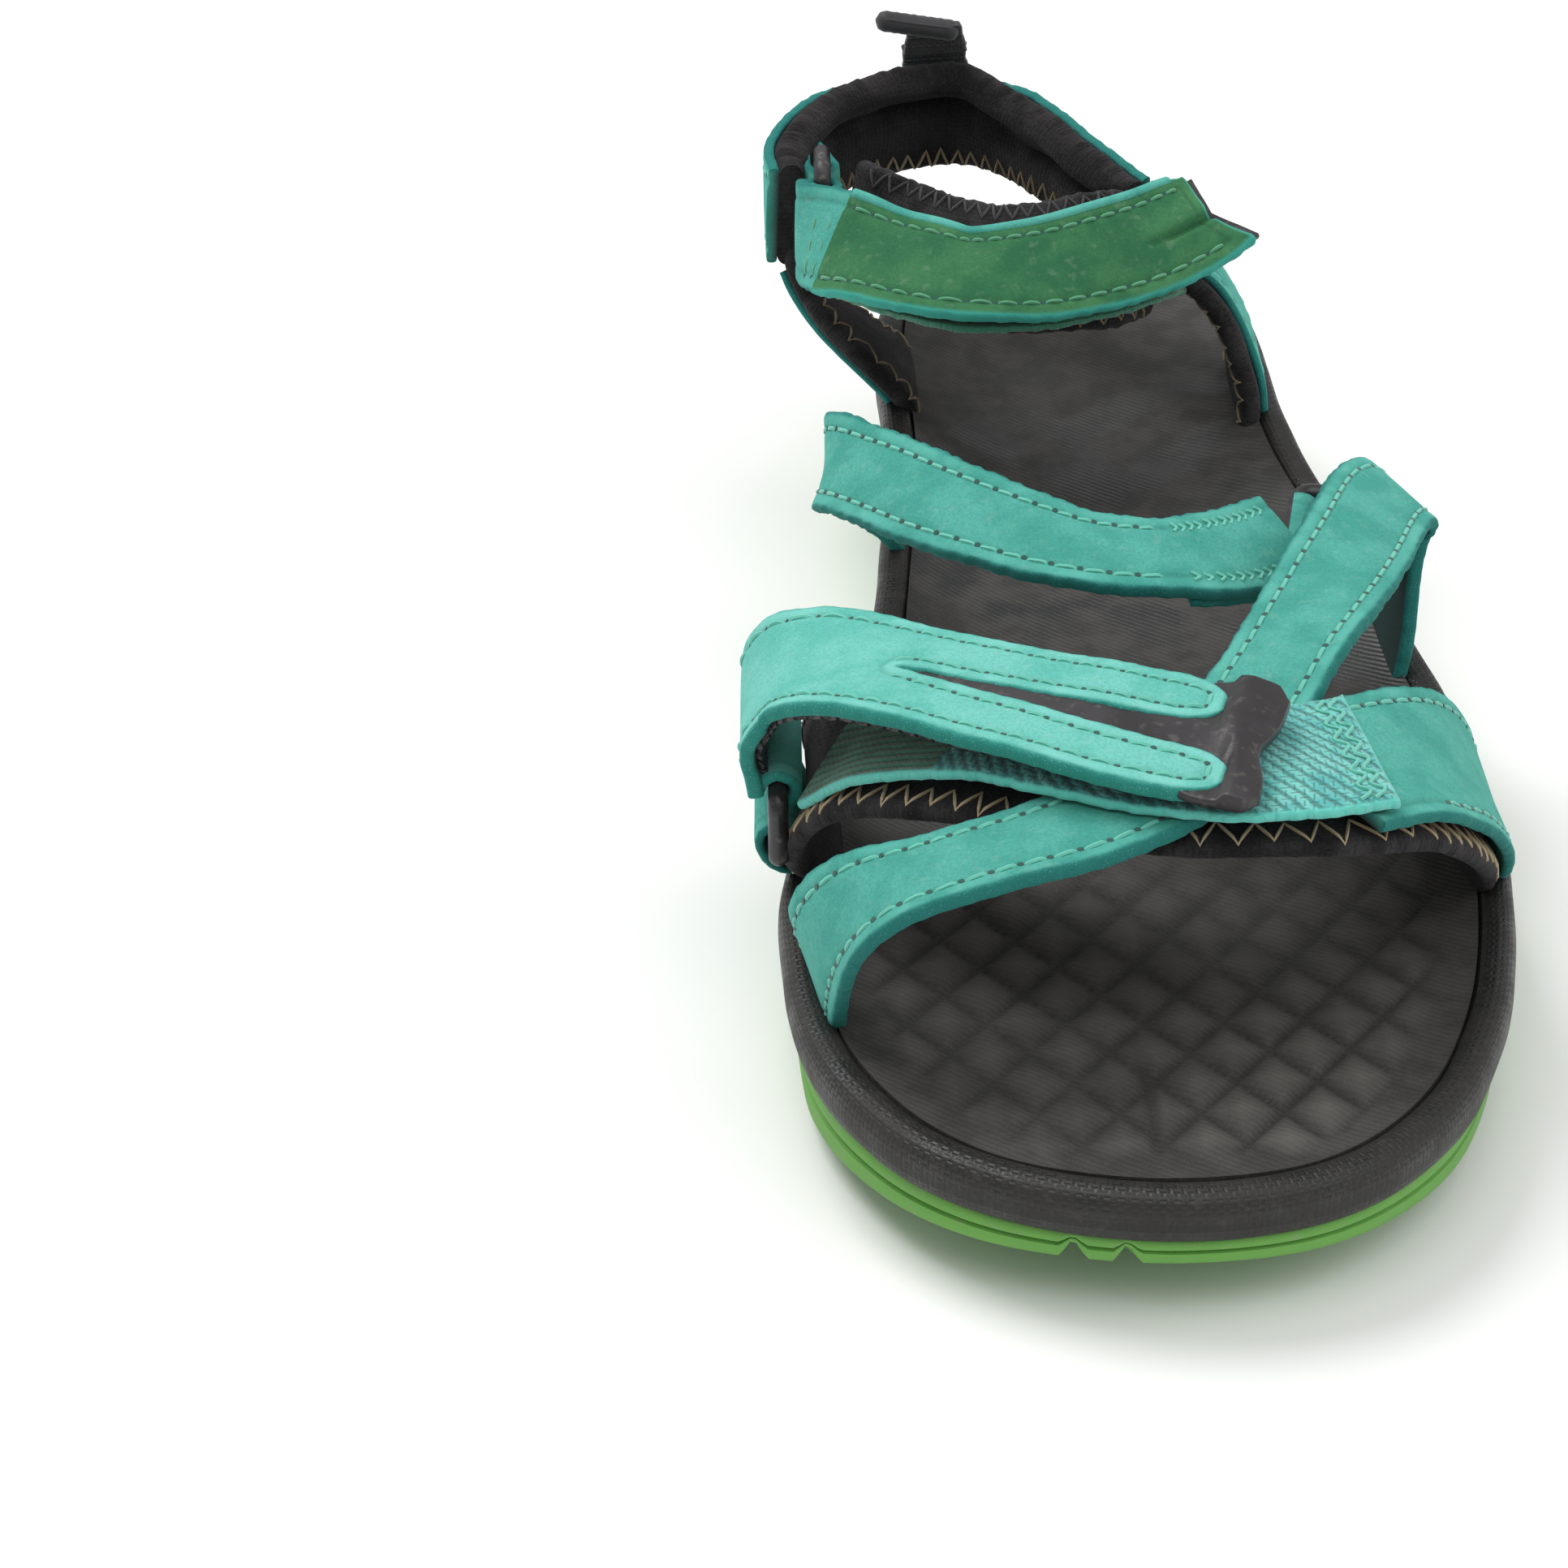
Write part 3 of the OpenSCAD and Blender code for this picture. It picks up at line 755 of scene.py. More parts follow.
class Net:
    """Adds shader nodes to one tree and joins them."""

    def __init__(self, tree: bpy.types.NodeTree) -> None:
        """Starts on a tree."""
        self.tree = tree

    def node(self, kind: str, **settings: object) -> bpy.types.Node:
        """Adds a node.

        Args:
            kind: The node's type, without its leading "ShaderNode".
            **settings: Its properties.

        Returns:
            The node.
        """
        made = self.tree.nodes.new("ShaderNode" + kind)
        for key, value in settings.items():
            setattr(made, key, value)
        return made

    def feed(self, socket: bpy.types.NodeSocket, value: object) -> None:
        """Links a socket, or sets it to a number or colour."""
        if isinstance(value, bpy.types.NodeSocket):
            self.tree.links.new(value, socket)
        else:
            socket.default_value = value

    def math(self, kind: str, *values: object) -> bpy.types.NodeSocket:
        """Works out a number at each place.

        Args:
            kind: The operation.
            *values: What it works on.

        Returns:
            The result.
        """
        made = self.node("Math", operation=kind)
        for socket, value in zip(made.inputs, values):
            self.feed(socket, value)
        return made.outputs[0]

    def times(self, a: object, b: object) -> bpy.types.NodeSocket:
        """One value times another."""
        return self.math("MULTIPLY", a, b)

    def step(self, value: object, low: float, high: float) -> bpy.types.NodeSocket:
        """Rises smoothly from 0 at low to 1 at high."""
        made = self.node("MapRange", interpolation_type="SMOOTHSTEP")
        for socket, part in zip(made.inputs, (value, low, high)):
            self.feed(socket, part)
        return made.outputs[0]

    def mix(self, mask: object, a: object, b: object) -> bpy.types.NodeSocket:
        """Blends two colours by a mask.

        Args:
            mask: 0 for the first colour, 1 for the second.
            a: The first colour.
            b: The second colour.

        Returns:
            The blend.
        """
        made = self.node("Mix", data_type="RGBA")
        for index, value in ((0, mask), (6, a), (7, b)):
            self.feed(made.inputs[index], (*value, 1.0) if isinstance(value, tuple) else value)
        return made.outputs[2]

    def tint(self, base: object, mask: object, share: float, colour: Colour) -> bpy.types.NodeSocket:
        """Lays a share of a colour over another, where a mask says.

        Args:
            base: The colour below.
            mask: 0 where nothing is laid, 1 where the whole share is.
            share: The share.
            colour: The colour laid over it.

        Returns:
            The result.
        """
        return self.mix(self.times(mask, share), base, colour)

    def noise(self, where: object, scale: object, detail: float = 3.0) -> bpy.types.NodeSocket:
        """Smooth random values.

        Args:
            where: The place.
            scale: How many features to a metre.
            detail: How many finer layers it has.

        Returns:
            Values round 0.5.
        """
        made = self.node("TexNoise")
        self.feed(made.inputs["Vector"], where)
        self.feed(made.inputs["Scale"], scale)
        self.feed(made.inputs["Detail"], detail)
        return made.outputs["Fac"]

    def place(self) -> bpy.types.NodeSocket:
        """The place in the piece's own frame, in metres."""
        return self.node("TexCoord").outputs["Object"]

    def mark(self, name: str) -> bpy.types.NodeSocket:
        """A value that the mesh carries."""
        return self.node("Attribute", attribute_name=name).outputs["Fac"]

    def lay(self) -> list[bpy.types.NodeSocket]:
        """The place along a strap, across it and in from its edge."""
        split = self.node("SeparateXYZ")
        self.feed(split.inputs[0], self.node("Attribute", attribute_name="lay").outputs["Vector"])
        return list(split.outputs)

    def bump(
        self, height: object, strength: float, distance: float, under: object = None
    ) -> bpy.types.NodeSocket:
        """Turns heights into a normal.

        Args:
            height: The heights.
            strength: How strong the effect is.
            distance: How high a height of 1 stands.
            under: A normal that this one is laid over.

        Returns:
            The normal.
        """
        made = self.node("Bump")
        made.inputs["Strength"].default_value = strength
        made.inputs["Distance"].default_value = distance
        self.feed(made.inputs["Height"], height)
        if under is not None:
            self.feed(made.inputs["Normal"], under)
        return made.outputs[0]


class Effect(Enum):
    """The shared effects, each one node group."""

    GRAIN = "surface_grain"
    RIBS = "fabric_ribs"
    WEAVE = "fabric_weave"
    WEAR = "edge_wear"


class Effects:
    """Builds each shared node group once, and places it in materials."""

    def __init__(self) -> None:
        """Builds the groups."""
        self._trees = {
            Effect.GRAIN: self._grain(),
            Effect.RIBS: self._ribs(),
            Effect.WEAVE: self._weave(),
            Effect.WEAR: self._wear(),
        }

    @staticmethod
    def _start(
        effect: Effect, inputs: Sequence[str], outputs: Sequence[str]
    ) -> tuple[Net, dict[str, bpy.types.NodeSocket], bpy.types.Node]:
        """Starts a group with number sockets.

        Args:
            effect: Which effect it is.
            inputs: The names of its inputs.
            outputs: The names of its outputs.

        Returns:
            Its net, its inputs by name and its output node.
        """
        tree = bpy.data.node_groups.new(effect.value, "ShaderNodeTree")
        for names, way in ((inputs, "INPUT"), (outputs, "OUTPUT")):
            for name in names:
                tree.interface.new_socket(name, in_out=way, socket_type="NodeSocketFloat")
        net = Net(tree)
        entry = tree.nodes.new("NodeGroupInput")
        leave = tree.nodes.new("NodeGroupOutput")
        return net, {name: entry.outputs[name] for name in inputs}, leave

    def _grain(self) -> bpy.types.NodeTree:
        """Fine nap or grain: its height, large soft tones and small light flecks."""
        net, given, out = self._start(Effect.GRAIN, ("Size",), ("Height", "Tone", "Fleck"))
        per = net.math("DIVIDE", 1.0, given["Size"])
        where = net.place()
        fine = net.noise(where, per, 4.0)
        hair = net.noise(where, net.times(per, 2.7), 2.0)
        net.feed(out.inputs["Height"], net.math("ADD", net.times(fine, 0.6), net.times(hair, 0.4)))
        cloud = net.noise(where, net.times(per, 0.06), 4.0)
        net.feed(out.inputs["Tone"], net.step(cloud, 0.36, 0.64))
        net.feed(out.inputs["Fleck"], net.step(hair, 0.6, 0.72))
        return net.tree

    def _ribs(self) -> bpy.types.NodeTree:
        """Ribs counted along and across a strap by two weights: their height and the shade between them."""
        net, given, out = self._start(Effect.RIBS, ("Pitch", "Along", "Across"), ("Height", "Shade"))
        u, v, _ = net.lay()
        where = net.math("MULTIPLY_ADD", v, given["Across"], net.times(u, given["Along"]))
        wobble = net.times(net.noise(net.place(), 300.0), net.times(given["Pitch"], 0.5))
        turns = net.math("DIVIDE", net.math("ADD", where, wobble), given["Pitch"])
        wave = net.math("SINE", net.times(turns, 2 * math.pi))
        net.feed(out.inputs["Height"], net.math("MULTIPLY_ADD", wave, 0.5, 0.5))
        net.feed(out.inputs["Shade"], net.step(wave, 0.1, -0.9))
        return net.tree

    def _weave(self) -> bpy.types.NodeTree:
        """A plain weave of Pitch: the height of its yarns and the dark gaps between them."""
        net, given, out = self._start(Effect.WEAVE, ("Pitch",), ("Height", "Shade"))
        u, v, _ = net.lay()
        turns = [net.times(net.math("DIVIDE", w, given["Pitch"]), math.pi) for w in (u, v)]
        waves = [net.math("SINE", t) for t in turns]
        bars = [net.math("ABSOLUTE", net.math("COSINE", t)) for t in turns]
        over = net.step(net.times(waves[0], waves[1]), -0.08, 0.08)
        warp = net.times(over, bars[0])
        weft = net.times(net.math("SUBTRACT", 1.0, over), bars[1])
        height = net.math("ADD", warp, weft)
        net.feed(out.inputs["Height"], height)
        net.feed(out.inputs["Shade"], net.step(height, 0.5, 0.1))
        return net.tree

    def _wear(self) -> bpy.types.NodeTree:
        """Cut edges, the underside, rubbed places just inside the edges, and dust."""
        net, given, out = self._start(Effect.WEAR, ("Rub", "Dirt"), ("Cut", "Under", "Rubbed", "Dust"))
        where = net.place()
        patch = net.noise(where, 160.0, 5.0)
        _, _, inset = net.lay()
        near = net.step(inset, 0.0035, 0.0006)
        net.feed(out.inputs["Cut"], net.mark("edge"))
        net.feed(out.inputs["Under"], net.mark("back"))
        rubbed = net.times(near, net.step(patch, 0.4, 0.62))
        net.feed(out.inputs["Rubbed"], net.times(rubbed, given["Rub"]))
        dust = net.step(net.noise(where, 620.0, 6.0), 0.56, 0.7)
        net.feed(out.inputs["Dust"], net.times(dust, given["Dirt"]))
        return net.tree

    def add(self, net: Net, effect: Effect, **values: object) -> dict[str, bpy.types.NodeSocket]:
        """Places an effect in a material.

        Args:
            net: The material's net.
            effect: Which effect.
            **values: Its inputs, by name.

        Returns:
            Its outputs, by name.
        """
        made = net.node("Group")
        made.node_tree = self._trees[effect]
        for key, value in values.items():
            net.feed(made.inputs[key], value)
        return {o.name: o for o in made.outputs}


@dataclass(frozen=True)
class Finish:
    """What every finish has.

    Attributes:
        name: The material's name.
        colour: Its main colour.
        rough: Its roughness.
    """

    name: str
    colour: str
    rough: float = 0.8

    def dress(self, net: Net, fx: Effects, shader: bpy.types.Node) -> None:
        """Adds the finish's own nodes; each finish gives its own.

        Args:
            net: The material's net.
            fx: The shared effects.
            shader: The material's shader.
        """
        raise NotImplementedError

    def vary(
        self, net: Net, shader: bpy.types.Node, by: bpy.types.NodeSocket, share: float, offset: float = 0.0
    ) -> None:
        """Varies the roughness.

        Args:
            net: The material's net.
            shader: The material's shader.
            by: The values that it follows.
            share: How much it follows them.
            offset: How far it starts from the finish's own roughness.
        """
        net.feed(shader.inputs["Roughness"], net.math("MULTIPLY_ADD", by, share, self.rough + offset))

    def make(self, fx: Effects) -> bpy.types.Material:
        """Makes the material.

        Args:
            fx: The shared effects.

        Returns:
            The material.
        """
        material = bpy.data.materials.new(self.name)
        material.use_nodes = True
        net = Net(material.node_tree)
        shader = net.tree.nodes["Principled BSDF"]
        shader.inputs["Roughness"].default_value = self.rough
        self.dress(net, fx, shader)
        return material


@dataclass(frozen=True)
class Nubuck(Finish):
    """Brushed leather with a fuzzy nap, a darker cut edge and a cloth backing."""

    light: str = "6FD0BC"
    cut: str = "2E8577"
    backing: str = "2A2C2E"
    nap: float = 0.42 * MM

    def dress(self, net: Net, fx: Effects, shader: bpy.types.Node) -> None:
        """Brushes the nap, paints shade along the stitch line and darkens the cut edge."""
        grain = fx.add(net, Effect.GRAIN, Size=self.nap)
        wear = fx.add(net, Effect.WEAR, Rub=0.55, Dirt=0.12)
        base = net.tint(srgb(self.colour), grain["Tone"], 0.5, srgb(self.light))
        pore_and_seam_shade = tuple(0.5 * c for c in srgb(self.colour))
        base = net.tint(base, net.step(grain["Height"], 0.58, 0.4), 0.3, pore_and_seam_shade)
        base = net.mix(wear["Rubbed"], base, srgb(self.light))
        _, _, inset = net.lay()
        # Painted shade: the face is painted darker along the stitch line, where the stitching pulls it in.
        from_seam = net.math("ABSOLUTE", net.math("SUBTRACT", inset, SEAM))
        base = net.tint(base, net.step(from_seam, 0.7 * MM, 0.1 * MM), 0.3, pore_and_seam_shade)
        base = net.tint(base, wear["Dust"], 0.5, srgb("C9D6C6"))
        base = net.mix(wear["Under"], base, srgb(self.backing))
        edge = net.tint(srgb(self.cut), grain["Fleck"], 0.65, srgb(self.light))
        net.feed(shader.inputs["Base Color"], net.mix(wear["Cut"], base, edge))
        self.vary(net, shader, grain["Height"], 0.25, -0.12)
        shader.inputs["Sheen Weight"].default_value = 0.35
        shader.inputs["Sheen Roughness"].default_value = 0.4
        shader.inputs["Sheen Tint"].default_value = (*srgb(self.light), 1)
        shader.inputs["Specular IOR Level"].default_value = 0.25
        fuzz = net.bump(grain["Height"], 0.55, 0.2 * MM)
        net.feed(shader.inputs["Normal"], net.bump(grain["Tone"], 0.3, 0.15 * MM, fuzz))


@dataclass(frozen=True)
class Knit(Finish):
    """Soft black lining cloth over foam, with a fine knit and lint."""

    light: str = "4A464B"
    loop: float = 0.75 * MM
    lint: float = 0.35

    def dress(self, net: Net, fx: Effects, shader: bpy.types.Node) -> None:
        """Knits the face and scatters lint over it."""
        weave = fx.add(net, Effect.WEAVE, Pitch=self.loop)
        grain = fx.add(net, Effect.GRAIN, Size=0.3 * MM)
        base = net.tint(srgb(self.colour), grain["Tone"], 0.6, srgb(self.light))
        base = net.tint(base, weave["Shade"], 0.5, (0.004, 0.004, 0.004))
        base = net.tint(base, grain["Fleck"], self.lint, srgb("77737A"))
        net.feed(shader.inputs["Base Color"], base)
        self.vary(net, shader, grain["Height"], 0.2, -0.1)
        shader.inputs["Sheen Weight"].default_value = 0.5
        shader.inputs["Sheen Roughness"].default_value = 0.5
        shader.inputs["Sheen Tint"].default_value = (*srgb("6E6A6C"), 1)
        shader.inputs["Specular IOR Level"].default_value = 0.2
        cloth = net.bump(weave["Height"], 0.5, 0.16 * MM)
        net.feed(shader.inputs["Normal"], net.bump(grain["Height"], 0.6, 0.22 * MM, cloth))


@dataclass(frozen=True)
class Webbing(Finish):
    """Woven tape with ribs, and a lighter selvedge."""

    light: str = "7FD8D6"
    rib: float = 1.5 * MM
    lie: tuple[float, float] = (1.0, 0.0)
    yarn: float = 0.9 * MM
    deep: float = 0.35 * MM
    selvedge: str = "5CC3B5"

    def dress(self, net: Net, fx: Effects, shader: bpy.types.Node) -> None:
        """Weaves the tape and colours its edge."""
        ribs = fx.add(net, Effect.RIBS, Pitch=self.rib, Along=self.lie[0], Across=self.lie[1])
        weave = fx.add(net, Effect.WEAVE, Pitch=self.yarn)
        grain = fx.add(net, Effect.GRAIN, Size=0.25 * MM)
        base = net.mix(grain["Tone"], srgb(self.colour), srgb(self.light))
        dark = tuple(0.22 * c for c in srgb(self.colour))
        base = net.tint(base, ribs["Shade"], 0.65, dark)
        base = net.tint(base, weave["Shade"], 0.6, dark)
        base = net.tint(base, grain["Fleck"], 0.25, srgb(self.light))
        base = net.mix(net.mark("edge"), base, srgb(self.selvedge))
        net.feed(shader.inputs["Base Color"], base)
        self.vary(net, shader, ribs["Height"], -0.15)
        shader.inputs["Sheen Weight"].default_value = 0.25
        tape = net.bump(ribs["Height"], 0.7, self.deep)
        net.feed(shader.inputs["Normal"], net.bump(weave["Height"], 0.5, 0.2 * MM, tape))


@dataclass(frozen=True)
class Hooks(Finish):
    """Glossy black hook tape: rows of tiny stubs."""

    pitch: float = 1.1 * MM

    def dress(self, net: Net, fx: Effects, shader: bpy.types.Node) -> None:
        """Sets the rows of hooks."""
        weave = fx.add(net, Effect.WEAVE, Pitch=self.pitch)
        grain = fx.add(net, Effect.GRAIN, Size=0.4 * MM)
        # Painted highlight: the raised rows of hooks are painted lighter on top.
        base = net.tint(srgb(self.colour), weave["Height"], 0.5, srgb("3C3B40"))
        net.feed(shader.inputs["Base Color"], net.tint(base, grain["Fleck"], 0.25, srgb("5A5B60")))
        self.vary(net, shader, weave["Shade"], 0.4)
        net.feed(shader.inputs["Normal"], net.bump(weave["Height"], 0.9, 0.5 * MM))


@dataclass(frozen=True)
class Moulded(Finish):
    """Moulded plastic or rubber with a fine spark texture, dust and scuffs."""

    light: str = "55524F"
    spark: float = 0.5 * MM
    relief: float = 0.1 * MM
    dirt: float = 0.5
    mottle: float = 0.6

    def dress(self, net: Net, fx: Effects, shader: bpy.types.Node) -> None:
        """Textures the skin and dusts it."""
        grain = fx.add(net, Effect.GRAIN, Size=self.spark)
        wear = fx.add(net, Effect.WEAR, Dirt=self.dirt)
        base = net.tint(srgb(self.colour), grain["Tone"], self.mottle, srgb(self.light))
        base = net.tint(base, wear["Dust"], 0.5, srgb("9A948C"))
        net.feed(shader.inputs["Base Color"], base)
        rough = net.math("MULTIPLY_ADD", grain["Tone"], 0.2, self.rough - 0.1)
        net.feed(shader.inputs["Roughness"], net.math("ADD", rough, net.times(wear["Dust"], 0.2)))
        net.feed(shader.inputs["Normal"], net.bump(grain["Height"], 0.5, self.relief))


@dataclass(frozen=True)
class Rand(Finish):
    """Dark rubber band with a fine knurl all round, painted shade in the knurl's valleys, and dust."""

    light: str = "4C4641"
    pitch: float = 0.75 * MM

    def dress(self, net: Net, fx: Effects, shader: bpy.types.Node) -> None:
        """Knurls the rubber."""
        weave = fx.add(net, Effect.WEAVE, Pitch=self.pitch)
        grain = fx.add(net, Effect.GRAIN, Size=0.35 * MM)
        wear = fx.add(net, Effect.WEAR, Dirt=0.12)
        base = net.tint(srgb(self.colour), grain["Tone"], 0.7, srgb(self.light))
        # Painted shade in the knurl's valleys.
        base = net.tint(base, weave["Shade"], 0.35, (0.006, 0.005, 0.005))
        base = net.tint(base, wear["Dust"], 0.5, srgb("7A7268"))
        net.feed(shader.inputs["Base Color"], base)
        self.vary(net, shader, grain["Tone"], 0.18, -0.08)
        knurl = net.bump(weave["Height"], 0.45, 0.16 * MM)
        net.feed(shader.inputs["Normal"], net.bump(grain["Height"], 0.4, 0.1 * MM, knurl))


@dataclass(frozen=True)
class Footcloth(Finish):
    """Charcoal footbed textile: fine slanted ribs, a worn lattice and a shiny trodden middle.

    The lattice has painted shade in its lines and a painted highlight on its diamonds; the trodden middle
    is darker from wear, with a painted bluish sheen.
    """

    light: str = "6E6B64"
    rib: float = 0.9 * MM

    def dress(self, net: Net, fx: Effects, shader: bpy.types.Node) -> None:
        """Weaves the textile and paints shade in the lattice's lines and a highlight on its diamonds, then
        wears it where the foot presses, darker there with a painted bluish sheen.
        """
        ribs = fx.add(net, Effect.RIBS, Pitch=self.rib, Along=0.8, Across=0.6)
        grain = fx.add(net, Effect.GRAIN, Size=0.3 * MM)
        where = net.place()
        patch = net.noise(where, 85.0, 6.0)
        split = net.node("SeparateXYZ")
        net.feed(split.inputs[0], where)
        along = split.outputs["Y"]
        worn = net.times(net.step(along, -52 * MM, -20 * MM), net.step(along, 100 * MM, 50 * MM))
        rubbed = net.times(worn, net.step(patch, 0.42, 0.6))
        base = net.tint(srgb(self.colour), grain["Tone"], 0.25, srgb(self.light))
        base = net.tint(base, ribs["Shade"], 0.35, (0.012, 0.012, 0.011))
        # Painted highlight: the lattice's raised diamonds, whose height rides in the back mark, are painted
        # lighter.
        base = net.tint(base, net.mark("back"), 0.75, srgb(self.light))
        # Painted shade: the lattice's pressed lines, whose depth rides in the edge mark, are painted darker.
        base = net.tint(base, net.mark("edge"), 0.7, (0.012, 0.011, 0.010))
        base = net.tint(base, grain["Fleck"], 0.35, srgb("8D8880"))
        # The trodden patches turn darker and bluish: darkening from wear, plus a painted bluish sheen.
        base = net.tint(base, rubbed, 0.5, srgb("1B1E22"))
        net.feed(shader.inputs["Base Color"], base)
        self.vary(net, shader, rubbed, -0.48)
        cloth = net.bump(ribs["Height"], 0.5, 0.12 * MM)
        net.feed(shader.inputs["Normal"], net.bump(grain["Height"], 0.5, 0.18 * MM, cloth))


@dataclass(frozen=True)
class Thread(Finish):
    """Twisted sewing thread."""

    light: str = "FFFFFF"

    def dress(self, net: Net, fx: Effects, shader: bpy.types.Node) -> None:
        """Twists the thread and lets its tone vary."""
        grain = fx.add(net, Effect.GRAIN, Size=0.2 * MM)
        base = net.tint(srgb(self.colour), grain["Height"], 0.5, srgb(self.light))
        net.feed(shader.inputs["Base Color"], base)
        self.vary(net, shader, grain["Tone"], 0.2, -0.1)
        shader.inputs["Sheen Weight"].default_value = 0.3
        net.feed(shader.inputs["Normal"], net.bump(grain["Height"], 0.6, 0.12 * MM))


class Wardrobe:
    """Every finish of the sandal, each made once."""

    FINISHES: tuple[Finish, ...] = (
        Nubuck("nubuck_aqua", "40978A", 0.88, light="5FB3A5", cut="22706A"),
        Nubuck("nubuck_pale", "5BB3A6", 0.88, light="7FCABF", cut="2A8378"),
        Nubuck("nubuck_green", "296442", 0.88, light="477F52", cut="3FA597"),
        Knit("lining_knit", "171617", 0.92, light="3A3839"),
        Knit("collar_fleece", "121112", 0.95, light="2C2A2B", loop=0.9 * MM, lint=0.35),
        Webbing(
            "loop_tape_aqua", "45A9A4", 0.88, light="70C4BB", lie=(0.8, 0.6), yarn=1.1 * MM, deep=0.2 * MM
        ),
        # Painted shade: this tape is turquoise, coloured darker green for the shade it lies in under the
        # flap.
        Webbing("loop_tape_shaded", "3A7F63", 0.85, light="54A083", lie=(0.0, 1.0), yarn=0.5 * MM),
        Webbing(
            "loop_tape_ankle",
            "2F6B4E",
            0.85,
            light="4A8A69",
            lie=(0.0, 1.0),
            yarn=0.5 * MM,
            selvedge="2F7A60",
        ),
        Webbing(
            "tab_tape_black",
            "151416",
            0.75,
            light="27262A",
            rib=0.9 * MM,
            yarn=0.6 * MM,
            deep=0.1 * MM,
            selvedge="1C1B1D",
        ),
        Hooks("hook_tape", "141416", 0.3),
        Moulded("tab_plastic", "272426", 0.38, light="373437", relief=0.05 * MM, dirt=0.25),
        Moulded("ring_plastic", "232224", 0.42, light="3A383A", relief=0.05 * MM),
        Moulded("tread_rubber", "5A9A3F", 0.75, light="78AF58", dirt=0.4, mottle=0.3),
        Moulded(
            "midsole_foam", "639F45", 0.75, light="7CB25E", spark=0.35 * MM, relief=0.12 * MM, mottle=0.25
        ),
        Moulded("bed_foam", "3A3937", 0.85, light="4C4B48"),
        Moulded("plug_foam", "D8D2C0", 0.9, light="E8E3D4", dirt=0.1),
        Moulded("shank_plate", "8E9296", 0.4, light="A6AAAE", dirt=0.1),
        Rand("rand_rubber", "151412", 0.5, light="201D1A"),
        Footcloth("footbed_cloth", "2E2D2B", 0.76, light="5F5C57"),
        Thread("thread_aqua", "4DAE9B", 0.75, light="8ADCC9"),
        Thread("thread_green", "3B8560", 0.75, light="66AB84"),
        Thread("thread_tan", "A58F6B", 0.8, light="D8C9A8"),
        Thread("thread_brown", "6E5F45", 0.85, light="9C8B68"),
        Thread("thread_black", "1C1B1D", 0.75, light="444247"),
        # Needle holes are dark dots of painted shade, standing in for the holes' depth.
        Thread("needle_hole_shade", "12433B", 0.95, light="1D564C"),
    )

    def __init__(self) -> None:
        """Makes the shared effects and all the materials."""
        effects = Effects()
        self._made = {f.name: f.make(effects) for f in self.FINISHES}
        LOG.info("made %d finishes", len(self._made))

    def pick(self, *names: str) -> list[bpy.types.Material]:
        """The materials with these names, in this order."""
        return [self._made[name] for name in names]


# ---------------------------------------------------------------- the sole


@dataclass
class Outline:
    """The edge of a layer of the sole, seen from above, and its heights.

    Attributes:
        xy: Points round the edge, anticlockwise, one per row.
        low: The lower edge's height at each point.
        high: The upper edge's height at each point.
    """

    MIDDLE = np.array([3.0, 4.0]) * MM

    xy: np.ndarray
    low: np.ndarray
    high: np.ndarray

    @classmethod
    def read(cls, node: str) -> Outline:
        """Reads a layer's edge from its CAD mesh, whose rings shrink towards the middle of the sole.

        Args:
            node: The CAD node's name.

        Returns:
            The smoothed edge.
        """
        co = np.unique(np.round([v.co for v in NODES[node].data.vertices], 7), axis=0)
        away = co[:, :2] - cls.MIDDLE
        angles = np.arctan2(away[:, 1], away[:, 0])
        order = np.argsort(angles)
        rows = []
        for ray in np.split(order, np.where(np.diff(angles[order]) > 1e-3)[0] + 1):
            reach = np.linalg.norm(away[ray], axis=1)
            if len(ray) >= 8:
                rim = co[ray[reach > reach.max() - 2e-5]]
                rows.append([*rim[0, :2], rim[:, 2].min(), rim[:, 2].max()])
        fine = spline(np.array(rows), 8, closed=True)
        return cls(fine[:, :2], fine[:, 2], fine[:, 3])

    def beside(self, reach: float, node: str) -> Outline:
        """The edge of another layer, which stands out from this one by the same distance all round.

        Args:
            reach: The distance.
            node: That layer's CAD node, which gives its heights.

        Returns:
            The other layer's edge.
        """
        xy = self.xy + self.outward() * reach
        co = np.array([v.co for v in NODES[node].data.vertices])
        gaps = np.linalg.norm(co[:, None, :2] - xy[None], axis=2).min(axis=1)
        rim: dict[tuple[float, float], list[float]] = {}
        for x, y, z in co[gaps < 0.8 * MM]:
            rim.setdefault((round(x, 5), round(y, 5)), []).append(z)
        rows = sorted((y, min(z), max(z)) for (x, y), z in rim.items() if max(z) > min(z))
        ys, low, high = (np.array(c) for c in zip(*rows))
        return Outline(xy, np.interp(xy[:, 1], ys, low), np.interp(xy[:, 1], ys, high))

    def outward(self) -> np.ndarray:
        """The way out of the sole at each point."""
        t = unit(np.roll(self.xy, -1, axis=0) - np.roll(self.xy, 1, axis=0))
        return np.column_stack([t[:, 1], -t[:, 0]])

    def height(self, y: np.ndarray, upper: bool) -> np.ndarray:
        """Height of the upper or lower edge at distances along the sole."""
        order = np.argsort(self.xy[:, 1])
        return np.interp(y, self.xy[order, 1], (self.high if upper else self.low)[order])

    def across(self, y: np.ndarray) -> tuple[np.ndarray, np.ndarray]:
        """The edge's two sides at distances along the sole.

        Args:
            y: The distances.

        Returns:
            The inner side's x and the outer side's x.
        """
        start = int(np.argmax(self.xy[:, 1]))
        ring = np.roll(self.xy, -start, axis=0)
        turn = int(np.argmin(ring[:, 1]))
        inner, outer = ring[: turn + 1][::-1], np.vstack([ring[turn:], ring[:1]])
        return np.interp(y, inner[:, 1], inner[:, 0]), np.interp(y, outer[:, 1], outer[:, 0])


